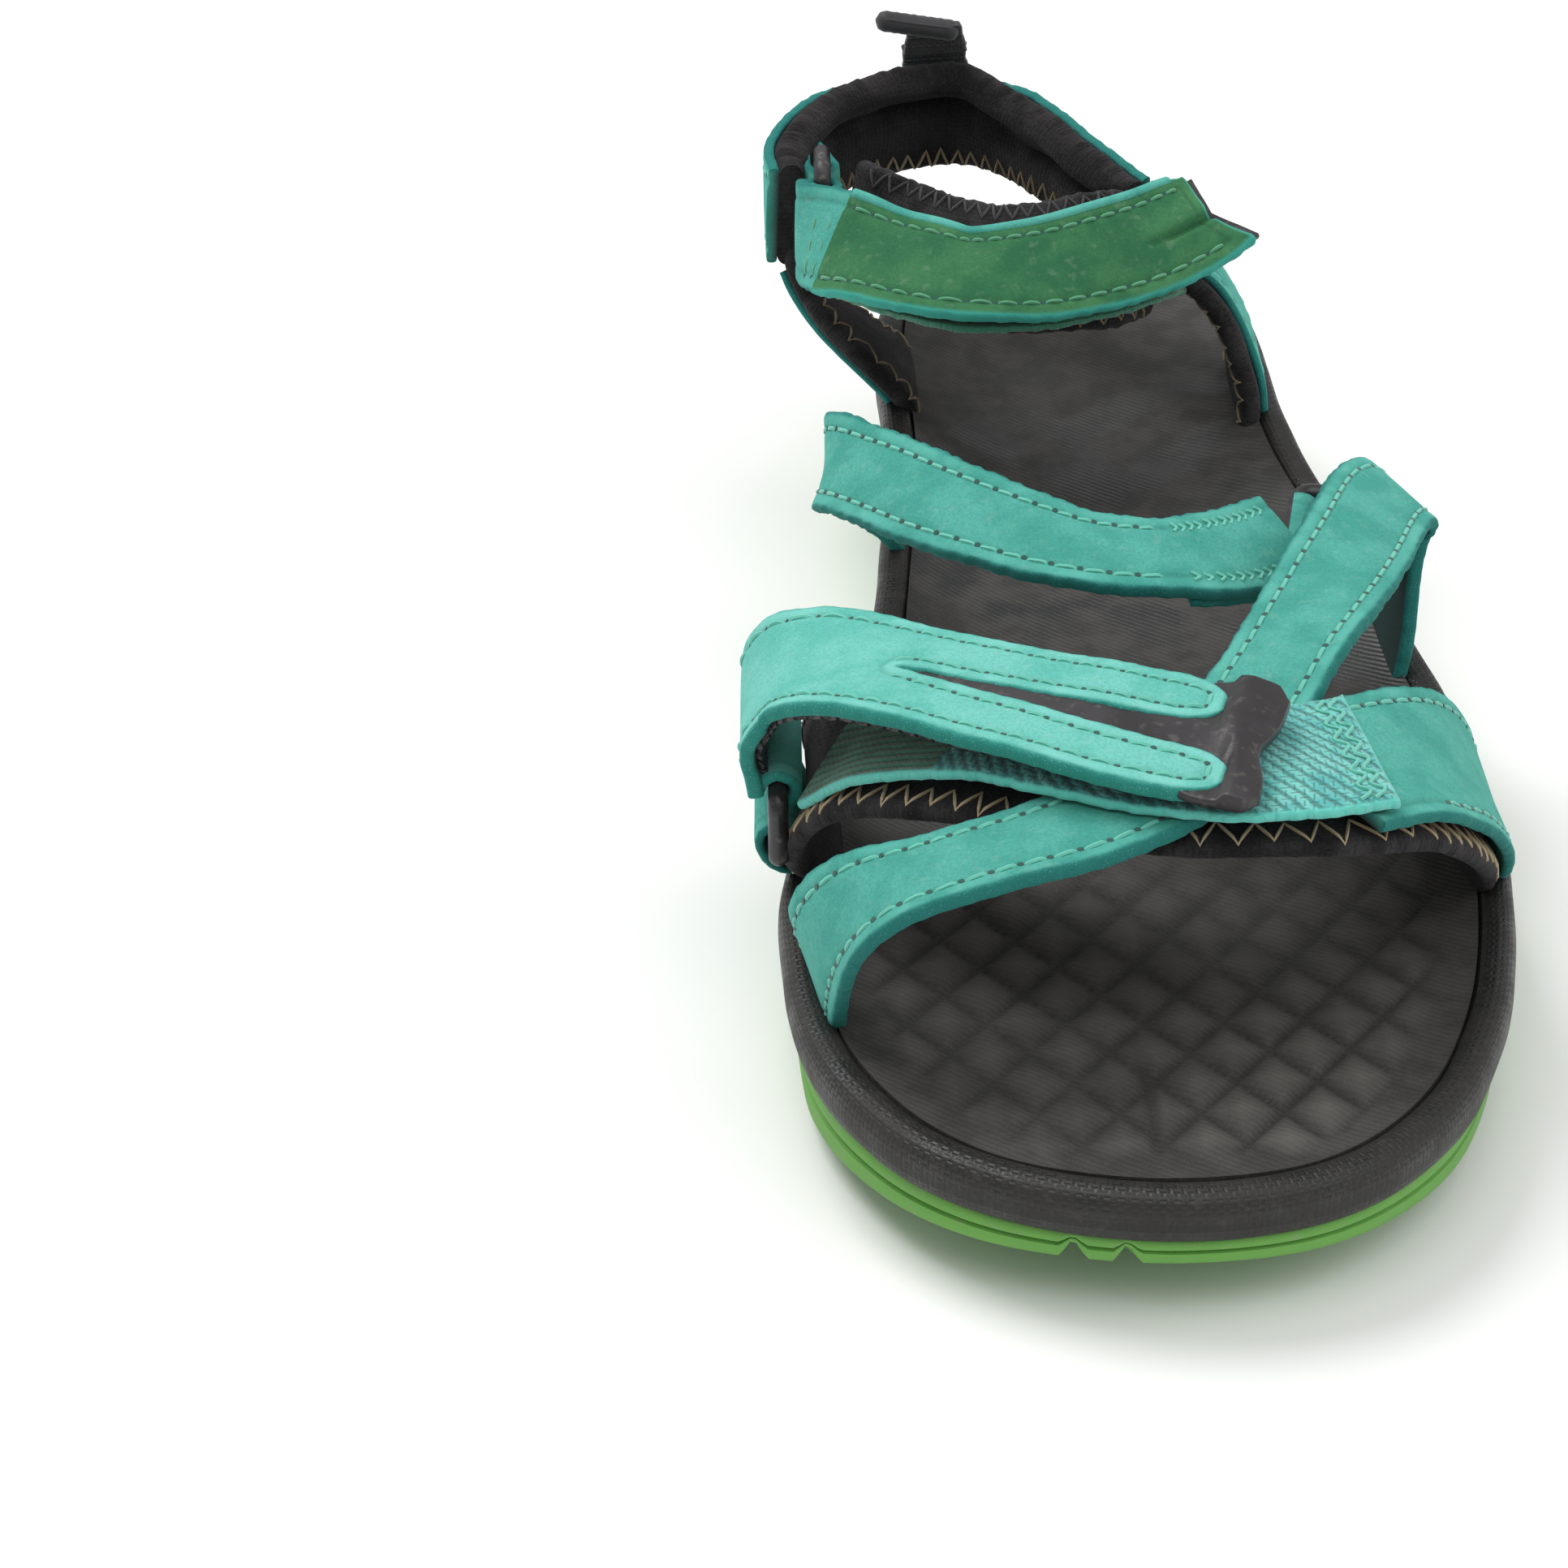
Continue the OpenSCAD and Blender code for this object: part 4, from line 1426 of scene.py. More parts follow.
@dataclass
class SoleUnit:
    """Tread, midsole, rand and footbed.

    Attributes:
        wardrobe: The finishes.
        rand_reach: How far the middle of the rand stands out from the footbed.
        rand_half: Half the rand's width and half its height.
        rand_stand: How far the rand stands above the footbed.
        diamond: Width and length of the lattice's diamonds.
        emboss: Depth of the lattice's lines.
        facet: Height of its diamonds.
        lattice_from: Where the lattice fades out towards the arch.
        cover_t: Thickness of the footbed's cloth.
        midsole_reach: How far the midsole stands out from the footbed.
        bumper: How far the midsole's wall runs down in front of the tread at the toe.
        notches: Where the two notches in that wall are.
        notch_half: Half a notch's width.
    """

    wardrobe: Wardrobe
    rand_reach: float = 2.3 * MM
    rand_half: tuple[float, float] = (2.55 * MM, 3.4 * MM)
    rand_stand: float = 1.0 * MM
    diamond: tuple[float, float] = (9.5 * MM, 13.0 * MM)
    emboss: float = 0.5 * MM
    facet: float = 0.8 * MM
    lattice_from: float = -38 * MM
    cover_t: float = 1.1 * MM
    midsole_reach: float = 2.9 * MM
    bumper: float = 3.0 * MM
    notches: tuple[float, float] = (-11.0 * MM, -5.0 * MM)
    notch_half: float = 1.5 * MM

    def build(self) -> None:
        """Builds the whole sole unit."""
        bed = Outline.read("footbed_cover")
        self._rand(bed)
        self._cover(bed)
        self._midsole(bed.beside(self.midsole_reach, "midsole"))
        for node, finish in (
            ("outsole", "tread_rubber"),
            ("footbed", "bed_foam"),
            ("heel_cushion", "plug_foam"),
            ("arch_shank", "shank_plate"),
        ):
            dress_node(node, self.wardrobe, finish)

    def _rand(self, bed: Outline) -> None:
        """Builds the rolled rubber band round the footbed."""
        out = bed.outward()
        wide, tall = self.rand_half
        sides = 28
        turns = 2 * math.pi * np.arange(sides) / sides
        shape = Shape("rand_roll")
        square = 0.78
        cx = wide * np.sign(np.cos(turns)) * np.abs(np.cos(turns)) ** square
        cz = tall * np.sign(np.sin(turns)) * np.abs(np.sin(turns)) ** square
        n = len(bed.xy)
        middle = bed.xy + out * self.rand_reach
        z0 = bed.high + self.rand_stand - tall
        run = np.concatenate([[0.0], np.cumsum(np.linalg.norm(np.diff(middle, axis=0), axis=1))])
        ripple = 0.05 * MM * np.sin(run / (5.3 * MM)) + 0.05 * MM * np.sin(run / (2.9 * MM))
        verts = np.zeros((n, sides, 3))
        verts[:, :, :2] = middle[:, None] + out[:, None] * (cx[None, :, None] + ripple[:, None, None])
        verts[:, :, 2] = z0[:, None] + cz[None]
        lay = np.zeros((n, sides, 3))
        lay[:, :, 0] = run[:, None]
        lay[:, :, 1] = (turns * (wide + tall) / 2)[None]
        lay[:, :, 2] = 5 * MM
        faces = []
        for i in range(n):
            for k in range(sides):
                here, there = i * sides, (i + 1) % n * sides
                j = (k + 1) % sides
                faces.append((here + k, there + k, there + j, here + j))
        shape.add(verts.reshape(-1, 3), faces, lay=lay.reshape(-1, 3))
        shape.build(self.wardrobe.pick("rand_rubber"), Body.ROOT, "rand", ["edge_rand"])

    def _lattice(self, x: np.ndarray, y: np.ndarray, d: np.ndarray) -> tuple[np.ndarray, np.ndarray]:
        """The pressed lattice: how high its diamonds stand, and how deep the lines between them are.

        Args:
            x: Places across the sole.
            y: Places along it.
            d: Distances in from the edge.

        Returns:
            The heights and the depths, from 0 to 1.
        """
        wide, long = self.diamond
        gaps = []
        for sign in (-1, 1):
            turn = x / wide + sign * y / long
            gaps.append(np.abs(turn - np.floor(turn) - 0.5))
        lines = np.exp(-((np.minimum(*gaps) / 0.075) ** 2))
        facets = np.minimum(*gaps) * 2
        worn = 0.7 + 0.3 * np.sin(x / (11 * MM)) * np.cos(y / (17 * MM))
        shown = worn * smooth(self.lattice_from, self.lattice_from - 22 * MM, y) * smooth(4 * MM, 8 * MM, d)
        return facets * shown, lines * shown

    def _cover(self, bed: Outline) -> None:
        """Builds the footbed's cloth, pressed with its lattice."""
        low, high = bed.xy[:, 1].min(), bed.xy[:, 1].max()
        turn = np.linspace(0.03, math.pi - 0.03, 330)
        ys = (low + high) / 2 - (high - low) / 2 * np.cos(turn)
        s = np.sin(np.linspace(-math.pi / 2, math.pi / 2, 121))
        left, right = bed.across(ys)
        x = (left + right)[:, None] / 2 + s[None] * (right - left)[:, None] / 2
        y = np.repeat(ys[:, None], len(s), axis=1)
        mesh = NODES["footbed_cover"].data
        tree = BVHTree.FromPolygons([v.co for v in mesh.vertices], [p.vertices for p in mesh.polygons])
        rim = bed.height(ys, True)
        z = np.zeros_like(x)
        for i in range(len(ys)):
            for k in range(len(s)):
                hit = tree.ray_cast(Vector((x[i, k], y[i, k], 0.1)), Vector((0, 0, -1)))[0]
                z[i, k] = hit.z if hit and hit.z > rim[i] - 9 * MM else rim[i]
        for _ in range(30):
            pad = np.pad(z, 1, mode="edge")
            z = (pad[1:-1, 1:-1] * 2 + pad[:-2, 1:-1] + pad[2:, 1:-1] + pad[1:-1, :-2] + pad[1:-1, 2:]) / 6
        d = np.minimum((1 - np.abs(s))[None] * (right - left)[:, None] / 2, np.minimum(y - low, high - y))
        facets, press = self._lattice(x, y, d)
        at_toe = smooth(-88 * MM, -97 * MM, y) * smooth(4 * MM, 7 * MM, d)
        ridge = np.exp(-(((x + 1 * MM) / (0.9 * MM)) ** 2)) * at_toe
        tread = 0.12 * MM * np.sin(x / (7 * MM) + 1) * np.cos(y / (9 * MM))
        groove = np.maximum(press, ridge)
        top = z + tread + self.facet * facets - self.emboss * groove + 0.5 * MM * np.exp(-d / (1.4 * MM))
        n, m = x.shape
        upper = np.stack([x, y, top], axis=-1).reshape(-1, 3)
        under = np.stack([x, y, z - self.cover_t], axis=-1).reshape(-1, 3)
        size = n * m
        quads = grid_faces(n, m)
        loop = [k for k in range(m)] + [i * m + m - 1 for i in range(1, n)]
        loop += [(n - 1) * m + k for k in range(m - 2, -1, -1)] + [i * m for i in range(n - 2, 0, -1)]
        faces = quads + [tuple(q + size for q in reversed(f)) for f in quads]
        faces += [(b, a, a + size, b + size) for a, b in zip(loop, loop[1:] + loop[:1])]
        lay = np.stack([y, x, d], axis=-1).reshape(-1, 3)
        # The groove depth rides in the edge mark and the diamonds' height in the back mark, for the cloth's
        # painted shade and painted highlight.
        edge = np.concatenate([groove.ravel(), np.zeros(size)])
        back = np.concatenate([facets.ravel(), np.zeros(size)])
        shape = Shape("footbed_cloth")
        shape.add(np.vstack([upper, under]), faces, lay=np.vstack([lay, lay]), edge=edge, back=back)
        shape.build(self.wardrobe.pick("footbed_cloth"), Body.ROOT, "footbed_textile", ["footbed_cover"])

    def _midsole(self, slab: Outline) -> None:
        """Builds the foam midsole, with a groove along its side."""
        out = slab.outward()
        wall = [(-0.5, 0.0), (0.0, 0.03), (0.25, 0.1), (0.4, 0.3), (0.35, 0.44), (-0.25, 0.49), (-0.25, 0.54)]
        wall += [(0.4, 0.59), (0.5, 0.72), (0.35, 0.9), (0.0, 0.97), (-0.6, 1.0)]
        rings = []
        for scale in (0.02, 0.4, 0.8):
            xy = Outline.MIDDLE + (slab.xy - Outline.MIDDLE) * scale
            rings.append(np.column_stack([xy, slab.height(xy[:, 1], False)]))
        foot = slab.low - self.bumper * smooth(-62 * MM, -84 * MM, slab.xy[:, 1])
        front = smooth(-100 * MM, -112 * MM, slab.xy[:, 1])
        for x in self.notches:
            notch = np.clip(1 - np.abs(slab.xy[:, 0] - x) / self.notch_half, 0, 1)
            foot = foot + front * notch * self.bumper * 0.95
        for push, up in wall:
            rings.append(np.column_stack([slab.xy + out * push * MM, foot + (slab.high - foot) * up]))
        for scale in (0.8, 0.4, 0.02):
            xy = Outline.MIDDLE + (slab.xy - Outline.MIDDLE) * scale
            rings.append(np.column_stack([xy, slab.height(xy[:, 1], True) - 5 * MM * (1 - scale * scale)]))
        n = len(slab.xy)
        faces: list[tuple[int, ...]] = [tuple(reversed(range(n)))]
        faces += grid_faces(len(rings), n, closed=True)
        faces.append(tuple((len(rings) - 1) * n + i for i in range(n)))
        shape = Shape("midsole_foam")
        shape.add(np.vstack(rings), faces)
        shape.build(self.wardrobe.pick("midsole_foam"), Body.ROOT, "sole_green", ["midsole"])


# ---------------------------------------------------------------- the straps


def dress_node(node: str, wardrobe: Wardrobe, finish: str) -> None:
    """Gives a CAD node that stays in view its finish.

    Args:
        node: The node's name.
        wardrobe: The finishes.
        finish: The finish's name.
    """
    piece = NODES[node]
    for slot in piece.material_slots:
        slot.material = wardrobe.pick(finish)[0]
    LOG.info("dressed %s in %s", node, finish)


def wrap(
    centre: Sequence[float],
    axis: Sequence[float],
    start: Sequence[float],
    turn: float,
    radius: float,
    half: float,
) -> Band:
    """The line of a loop of strap round a bar.

    Args:
        centre: The middle of the bar.
        axis: The bar's direction.
        start: The way from the bar to where the loop starts.
        turn: How far round it goes, in degrees.
        radius: The distance of the loop's middle from the bar's.
        half: Half the loop's width.

    Returns:
        The loop's line.
    """
    a = unit(np.array(axis, float))
    s = np.array(start, float)
    s = unit(s - (s @ a) * a)
    t = np.cross(a, s)
    phi = np.radians(np.linspace(0, turn, 40))[:, None]
    out = np.cos(phi) * s + np.sin(phi) * t
    return Band(np.array(centre, float) + radius * out, out, np.full(len(phi), half), 1 * MM)


Seam = tuple[Side, float, float]


@dataclass
class Assembly:
    """What every group of straps has.

    Attributes:
        wardrobe: The finishes.
        seam_inset: Distance of the stitch rows from the edge.
    """

    wardrobe: Wardrobe
    seam_inset: float = SEAM

    def seams(self, ribbon: Ribbon, start: float = 2 * MM, end: float = 2 * MM) -> list[Seam]:
        """A stitch row along each edge, from a distance after its start to one before its end."""
        last = ribbon.band.length - end
        return [(Side.RIGHT, start, last), (Side.LEFT, start, last)]

    def strap(
        self,
        name: str,
        ribbon: Ribbon,
        finishes: Sequence[str],
        slot: str,
        nodes: Sequence[str] = (),
        seams: Sequence[Seam] = (),
        body: Body = Body.ROOT,
        more: Callable[[Shape], None] | None = None,
    ) -> None:
        """Builds a strap with its stitching.

        Args:
            name: The piece's name.
            ribbon: Its shape.
            finishes: Its finish, then its thread's and its needle holes'.
            slot: The record's material slot.
            nodes: The CAD nodes that it stands for.
            seams: Its rows of stitches.
            body: The body that it rides on.
            more: Adds its further details.
        """
        shape = Shape(name)
        ribbon.add_to(shape)
        for side, start, end in seams:
            ribbon.sew(shape, ribbon.side_path(ribbon.strips[0], side, start, end, self.seam_inset), 1, 2)
        if more:
            more(shape)
        shape.build(self.wardrobe.pick(*finishes), body, slot, nodes)


    def turn(self, shape: Shape, line: Band, thick: float, tint: int = 0) -> None:
        """Adds the stretch of a strap that turns round a ring's bar.

        Args:
            shape: The strap's piece.
            line: The line round the bar.
            thick: The strap's thickness.
            tint: Which of the piece's materials it takes.
        """
        Ribbon(line, Section(thick=thick, seam=0.0, wave=0.0, crown=0.0)).add_to(shape, tint)

    def hooks(
        self, name: str, node: str, band: Band, start: float, end: float, trim: float, body: Body
    ) -> None:
        """Builds the hook patch under a closure strap.

        Args:
            name: The piece's name.
            node: The CAD node that it stands for.
            band: The strap's line.
            start: Where the patch starts along the strap.
            end: Where it ends.
            trim: How far in from the strap's edges it stays.
            body: The body that it rides on.
        """
        outline = Strip.plain(band, start, end, trim=trim, caps=(True, True))
        section = Section(thick=1.0 * MM, lift=-1.5 * MM, seam=0.0, edge_radius=0.3 * MM)
        self.strap(name, Ribbon(band, section, [outline]), ("hook_tape",), "hook_black", [node], body=body)


AQUA = ("nubuck_aqua", "thread_aqua", "needle_hole_shade")
LINING = Section(thick=2.4 * MM, edge_radius=1.1 * MM, seam=0.0, fray=0.1 * MM)
ANCHOR = Section(thick=1.2 * MM, seam=0.0, wave=0.0)
INSIDE = (0.0, -0.02, 0.02)


@dataclass
class ToeStrap(Assembly):
    """The strap over the toes, which runs on to the outer side."""

    def build(self) -> None:
        """Builds the strap."""
        band = Band.read("toe_strap", (-0.0355, -0.076, 0.011), INSIDE)
        ribbon = Ribbon(band, Section())
        self.strap("toe_strap_nubuck", ribbon, AQUA, "nubuck", ["toe_strap"], self.seams(ribbon))


@dataclass
class InstepStrap(Assembly):
    """The strap over the instep, doubled back through its ring.

    Attributes:
        doubled: Length of the doubled end.
        chevron: Distance from one chevron stitch to the next.
        bar: The middle of the ring's near bar.
        bar_axis: The bar's direction.
    """

    doubled: float = 19 * MM
    chevron: float = 1.5 * MM
    bar: tuple[float, float, float] = (0.02609, -0.0105, 0.0445)
    bar_axis: tuple[float, float, float] = (0.203, 0.957, 0.208)

    def build(self) -> None:
        """Builds the strap, its doubled end and its ring."""
        band = Band.read("instep_strap", (-0.0225, 0.038, 0.016), INSIDE)
        ribbon = Ribbon(band, Section(fray=0.1 * MM))
        self.strap(
            "instep_strap_nubuck",
            ribbon,
            AQUA,
            "nubuck",
            ["instep_strap"],
            self.seams(ribbon, end=self.doubled),
            more=lambda shape: self._chevrons(ribbon, shape),
        )
        self._fold(band)
        dress_node("instep_ring", self.wardrobe, "ring_plastic")

    def _fold(self, band: Band) -> None:
        """Builds the end that is doubled under the strap, and the turn round the ring's bar."""
        start = band.length - self.doubled
        end = band.length + 0.6 * MM
        strip = Strip((start, end), level(0), lambda u: band.half_at(u) * 0.97, (True, False))
        under = Ribbon(band, Section(thick=1.5 * MM, lift=-1.8 * MM, seam=0.0), [strip])

        def details(shape: Shape) -> None:
            """Adds the turn round the bar."""
            self.turn(shape, wrap(self.bar, self.bar_axis, (-0.3, 0, 1), 215, 2.15 * MM, 6.6 * MM), 1.5 * MM)

        self.strap("instep_fold", under, AQUA, "nubuck", more=details)

    def _chevrons(self, ribbon: Ribbon, shape: Shape) -> None:
        """Sews a row of chevrons along each edge of the doubled end.

        Args:
            ribbon: The strap.
            shape: The piece that the thread is part of.
        """
        band = ribbon.band
        for side in Side:
            for u in np.arange(band.length - self.doubled, band.length - 1.5 * MM, self.chevron):
                for lean in (-1, 1):
                    t = np.linspace(0, 1, 5)
                    us = u + 0.9 * MM * t
                    vs = side.value * (band.frame(us)[3] - self.seam_inset - lean * 0.75 * MM * (1 - t))
                    shape.tube(ribbon.face(us, vs, np.full(5, 2.4 * MM), 0.12 * MM), 0.24 * MM, 6, 1)


@dataclass
class ForefootClosure(Assembly):
    """The wide closure over the forefoot: lining, panel, loop tape, ring and the two-pronged flap.

    Attributes:
        slit_at: Where the flap's slit starts, as a share of its length.
        prongs: How far the front and back prongs run past the flap's CAD end.
        gap: Half the gap between the prongs at their tips.
        plate_past: How far the moulded plate runs past the flap's CAD end.
        ring_bar: The bar that the flap turns round.
        ring_axis: That bar's direction.
    """

    slit_at: float = 0.44
    prongs: tuple[float, float] = (3.2 * MM, 0.6 * MM)
    gap: float = 2.1 * MM
    plate_past: float = 7.6 * MM
    ring_bar: tuple[float, float, float] = (-0.0436, -0.04615, 0.03487)
    ring_axis: tuple[float, float, float] = (0, -0.9925, -0.1219)

    def build(self) -> None:
        """Builds the closure from the inside out."""
        lining = Ribbon(Band.read("forefoot_lining", (-0.0345, -0.039, 0.012), INSIDE), LINING)

        def overlock(shape: Shape) -> None:
            """Adds the zigzag along the lining's front edge."""
            lining.zigzag(shape, Side.RIGHT, 6 * MM, lining.band.length - 6 * MM, 1)
            lining.zigzag(shape, Side.LEFT, 6 * MM, lining.band.length - 6 * MM, 2, deep=2.6 * MM)

        finishes = ("lining_knit", "thread_tan", "thread_black")
        self.strap("forefoot_lining_knit", lining, finishes, "neoprene", ["forefoot_lining"], more=overlock)
        panel = Ribbon(Band.read("forefoot_panel", (0.020, -0.077, 0.0462), INSIDE), Section(thick=1.6 * MM))
        seams = self.seams(panel, start=14 * MM)
        self.strap("forefoot_panel_nubuck", panel, AQUA, "nubuck", ["forefoot_panel"], seams)
        line = Band.read("forefoot_anchor", (-0.0374, -0.04, 0.013), (-0.0434, -0.0425, 0.021))
        anchor = Ribbon(line, ANCHOR)
        self.strap("forefoot_anchor_nubuck", anchor, AQUA, "nubuck", ["forefoot_anchor"])
        self._tape()
        self._flap()
        dress_node("forefoot_ring", self.wardrobe, "ring_plastic")

    def _tape(self) -> None:
        """Builds the loop tape: a fine start coloured darker green as painted shade, and a coarse aqua end.
        """
        band = Band.read("forefoot_loop_web", (-0.0355, -0.0522, 0.0378), INSIDE)
        join = 0.3 * band.length
        section = Section(thick=1.4 * MM, seam=0.0, crown=0.1 * MM, fray=0.11 * MM)
        fine = Ribbon(band, section, [Strip.plain(band, 0.0, join)])

        def lean(u: np.ndarray, v: np.ndarray) -> tuple[np.ndarray, np.ndarray]:
            """Leans the cut end back to the strap's own line."""
            return u + 0.42 * v * smooth(band.length - 24 * MM, band.length, u), v

        end = Strip.plain(band, join, band.length, caps=(False, True))
        coarse = Ribbon(band, section, [end], None, lean)

        def details(shape: Shape) -> None:
            """Adds the coarse end and its zigzag."""
            coarse.add_to(shape, 1)
            for back in (2.4 * MM, 4.2 * MM):
                v = np.arange(-10, 10.1, 0.5) * MM
                u = band.length - back + 0.8 * MM * np.sin(v / (0.5 * MM))
                shape.tube(coarse.face(u, v, np.full_like(u, 3 * MM), 0.1 * MM), 0.28 * MM, 6, 2)

        finishes = ("loop_tape_shaded", "loop_tape_aqua", "thread_aqua")
        self.strap("forefoot_loop_tape", fine, finishes, "loop_web", ["forefoot_loop_web"], more=details)

    def _tongues(self, band: Band) -> list[Strip]:
        """The flap's two prongs, which are one up to the slit."""
        slit = self.slit_at * band.length

        def half(u: np.ndarray) -> np.ndarray:
            """Half the flap's width."""
            return band.half_at(u) * (1 + 0.05 * smooth(0.5 * band.length, band.length, u))

        def opening(u: np.ndarray) -> np.ndarray:
            """Half the slit's width."""
            return self.gap * smooth(slit, band.length, u) + 0.35 * MM * smooth(slit, slit + 4 * MM, u)

        def prong(side: Side, other: Side, end: float) -> Strip:
            """One prong, which is joined to the other up to the slit."""
            tip = dome(lambda u: (half(u) - opening(u)) / 2, end, 7.5 * MM)
            breaks = (0.0, slit, end - 8 * MM, end)
            return Strip(
                breaks, lambda u: side.value * (half(u) + opening(u)) / 2, tip, (False, True), other, slit
            )

        front, back = (band.length + past for past in self.prongs)
        return [prong(Side.RIGHT, Side.LEFT, front), prong(Side.LEFT, Side.RIGHT, back)]

    def _flap(self) -> None:
        """Builds the flap, its turn round the ring, its hook patch and its moulded plate."""
        band = Band.read("forefoot_closure", (-0.0464, -0.0464, 0.0353), INSIDE, at=0.8)
        strips = self._tongues(band)
        slit = strips[0].slit
        flap = Ribbon(band, Section(crown=0.35 * MM), strips)

        def details(shape: Shape) -> None:
            """Adds the rows round both prongs and the turn round the bar."""
            for strip, outer in zip(strips, (Side.RIGHT, Side.LEFT)):
                end = strip.breaks[-1] - 2.2 * MM
                up = flap.side_path(strip, outer, 3 * MM, end, self.seam_inset)
                down = flap.side_path(strip, strip.joined, slit, end, self.seam_inset)[::-1]
                flap.sew(shape, np.vstack([up, down, [[slit - 2.3 * MM, 0.0]]]), 1, 2)
            line = wrap(self.ring_bar, self.ring_axis, (-1, 0, 0.1), -250, 2.3 * MM, 11.2 * MM)
            self.turn(shape, line, 1.6 * MM)

        finishes = ("nubuck_pale", "thread_aqua", "needle_hole_shade")
        body = Body.FOREFOOT_FLAP
        nodes = ["forefoot_closure"]
        self.strap("forefoot_flap_nubuck", flap, finishes, "nubuck", nodes, body=body, more=details)
        end = band.length - 9 * MM
        self.hooks("forefoot_hooks", "forefoot_hook_patch", band, 3 * MM, end, 1.2 * MM, body)
        self._plate(band, slit)

    def _plate(self, band: Band, slit: float) -> None:
        """Builds the moulded plate that shows between and beyond the prongs."""
        end = band.length + self.plate_past

        def half(u: np.ndarray) -> np.ndarray:
            """Half the plate's width: tucked under the prongs, then full width."""
            full = band.half_at(u) * 1.05
            tucked = full - 1.6 * MM
            wide = tucked + 2.0 * MM * smooth(band.length - 5 * MM, band.length + 0.5 * MM, u)
            return wide - 2.2 * MM * smooth(end - 2.5 * MM, end, u) ** 2

        def rise(u: np.ndarray, v: np.ndarray) -> np.ndarray:
            """The raised facet beyond the prongs and the step at their tips."""
            tips = band.length + np.where(v < 0, *self.prongs)
            past = smooth(-0.5 * MM, 0.8 * MM, u - tips)
            between = smooth(2.6 * MM, 0.6 * MM, np.abs(v)) * smooth(band.length - 14 * MM, band.length, u)
            crest = 0.9 * MM * np.clip(1 - np.abs(u - band.length - 2.5 * MM) / (4.5 * MM), 0, 1)
            high = 0.75 * MM * past + np.maximum(between, past) * crest
            return high - 0.3 * MM * smooth(end - 1.6 * MM, end, u)

        def notch(u: np.ndarray, v: np.ndarray) -> tuple[np.ndarray, np.ndarray]:
            """Pulls the end in at its middle."""
            bite = np.exp(-(((v + 1 * MM) / (4 * MM)) ** 2))
            return u - 1.7 * MM * bite * smooth(end - 6 * MM, end, u), v

        strip = Strip((slit - 3 * MM, end), level(0), half, (True, True))
        section = Section(
            thick=1.2 * MM, lift=0.05 * MM, edge_radius=0.4 * MM, seam=0.0, crown=0.1 * MM, fray=0.0, wave=0.0
        )
        plate = Ribbon(band, section, [strip], rise, notch)
        body = Body.FOREFOOT_FLAP
        self.strap("forefoot_plate", plate, ("tab_plastic",), "moulded_black", ["forefoot_tab"], body=body)


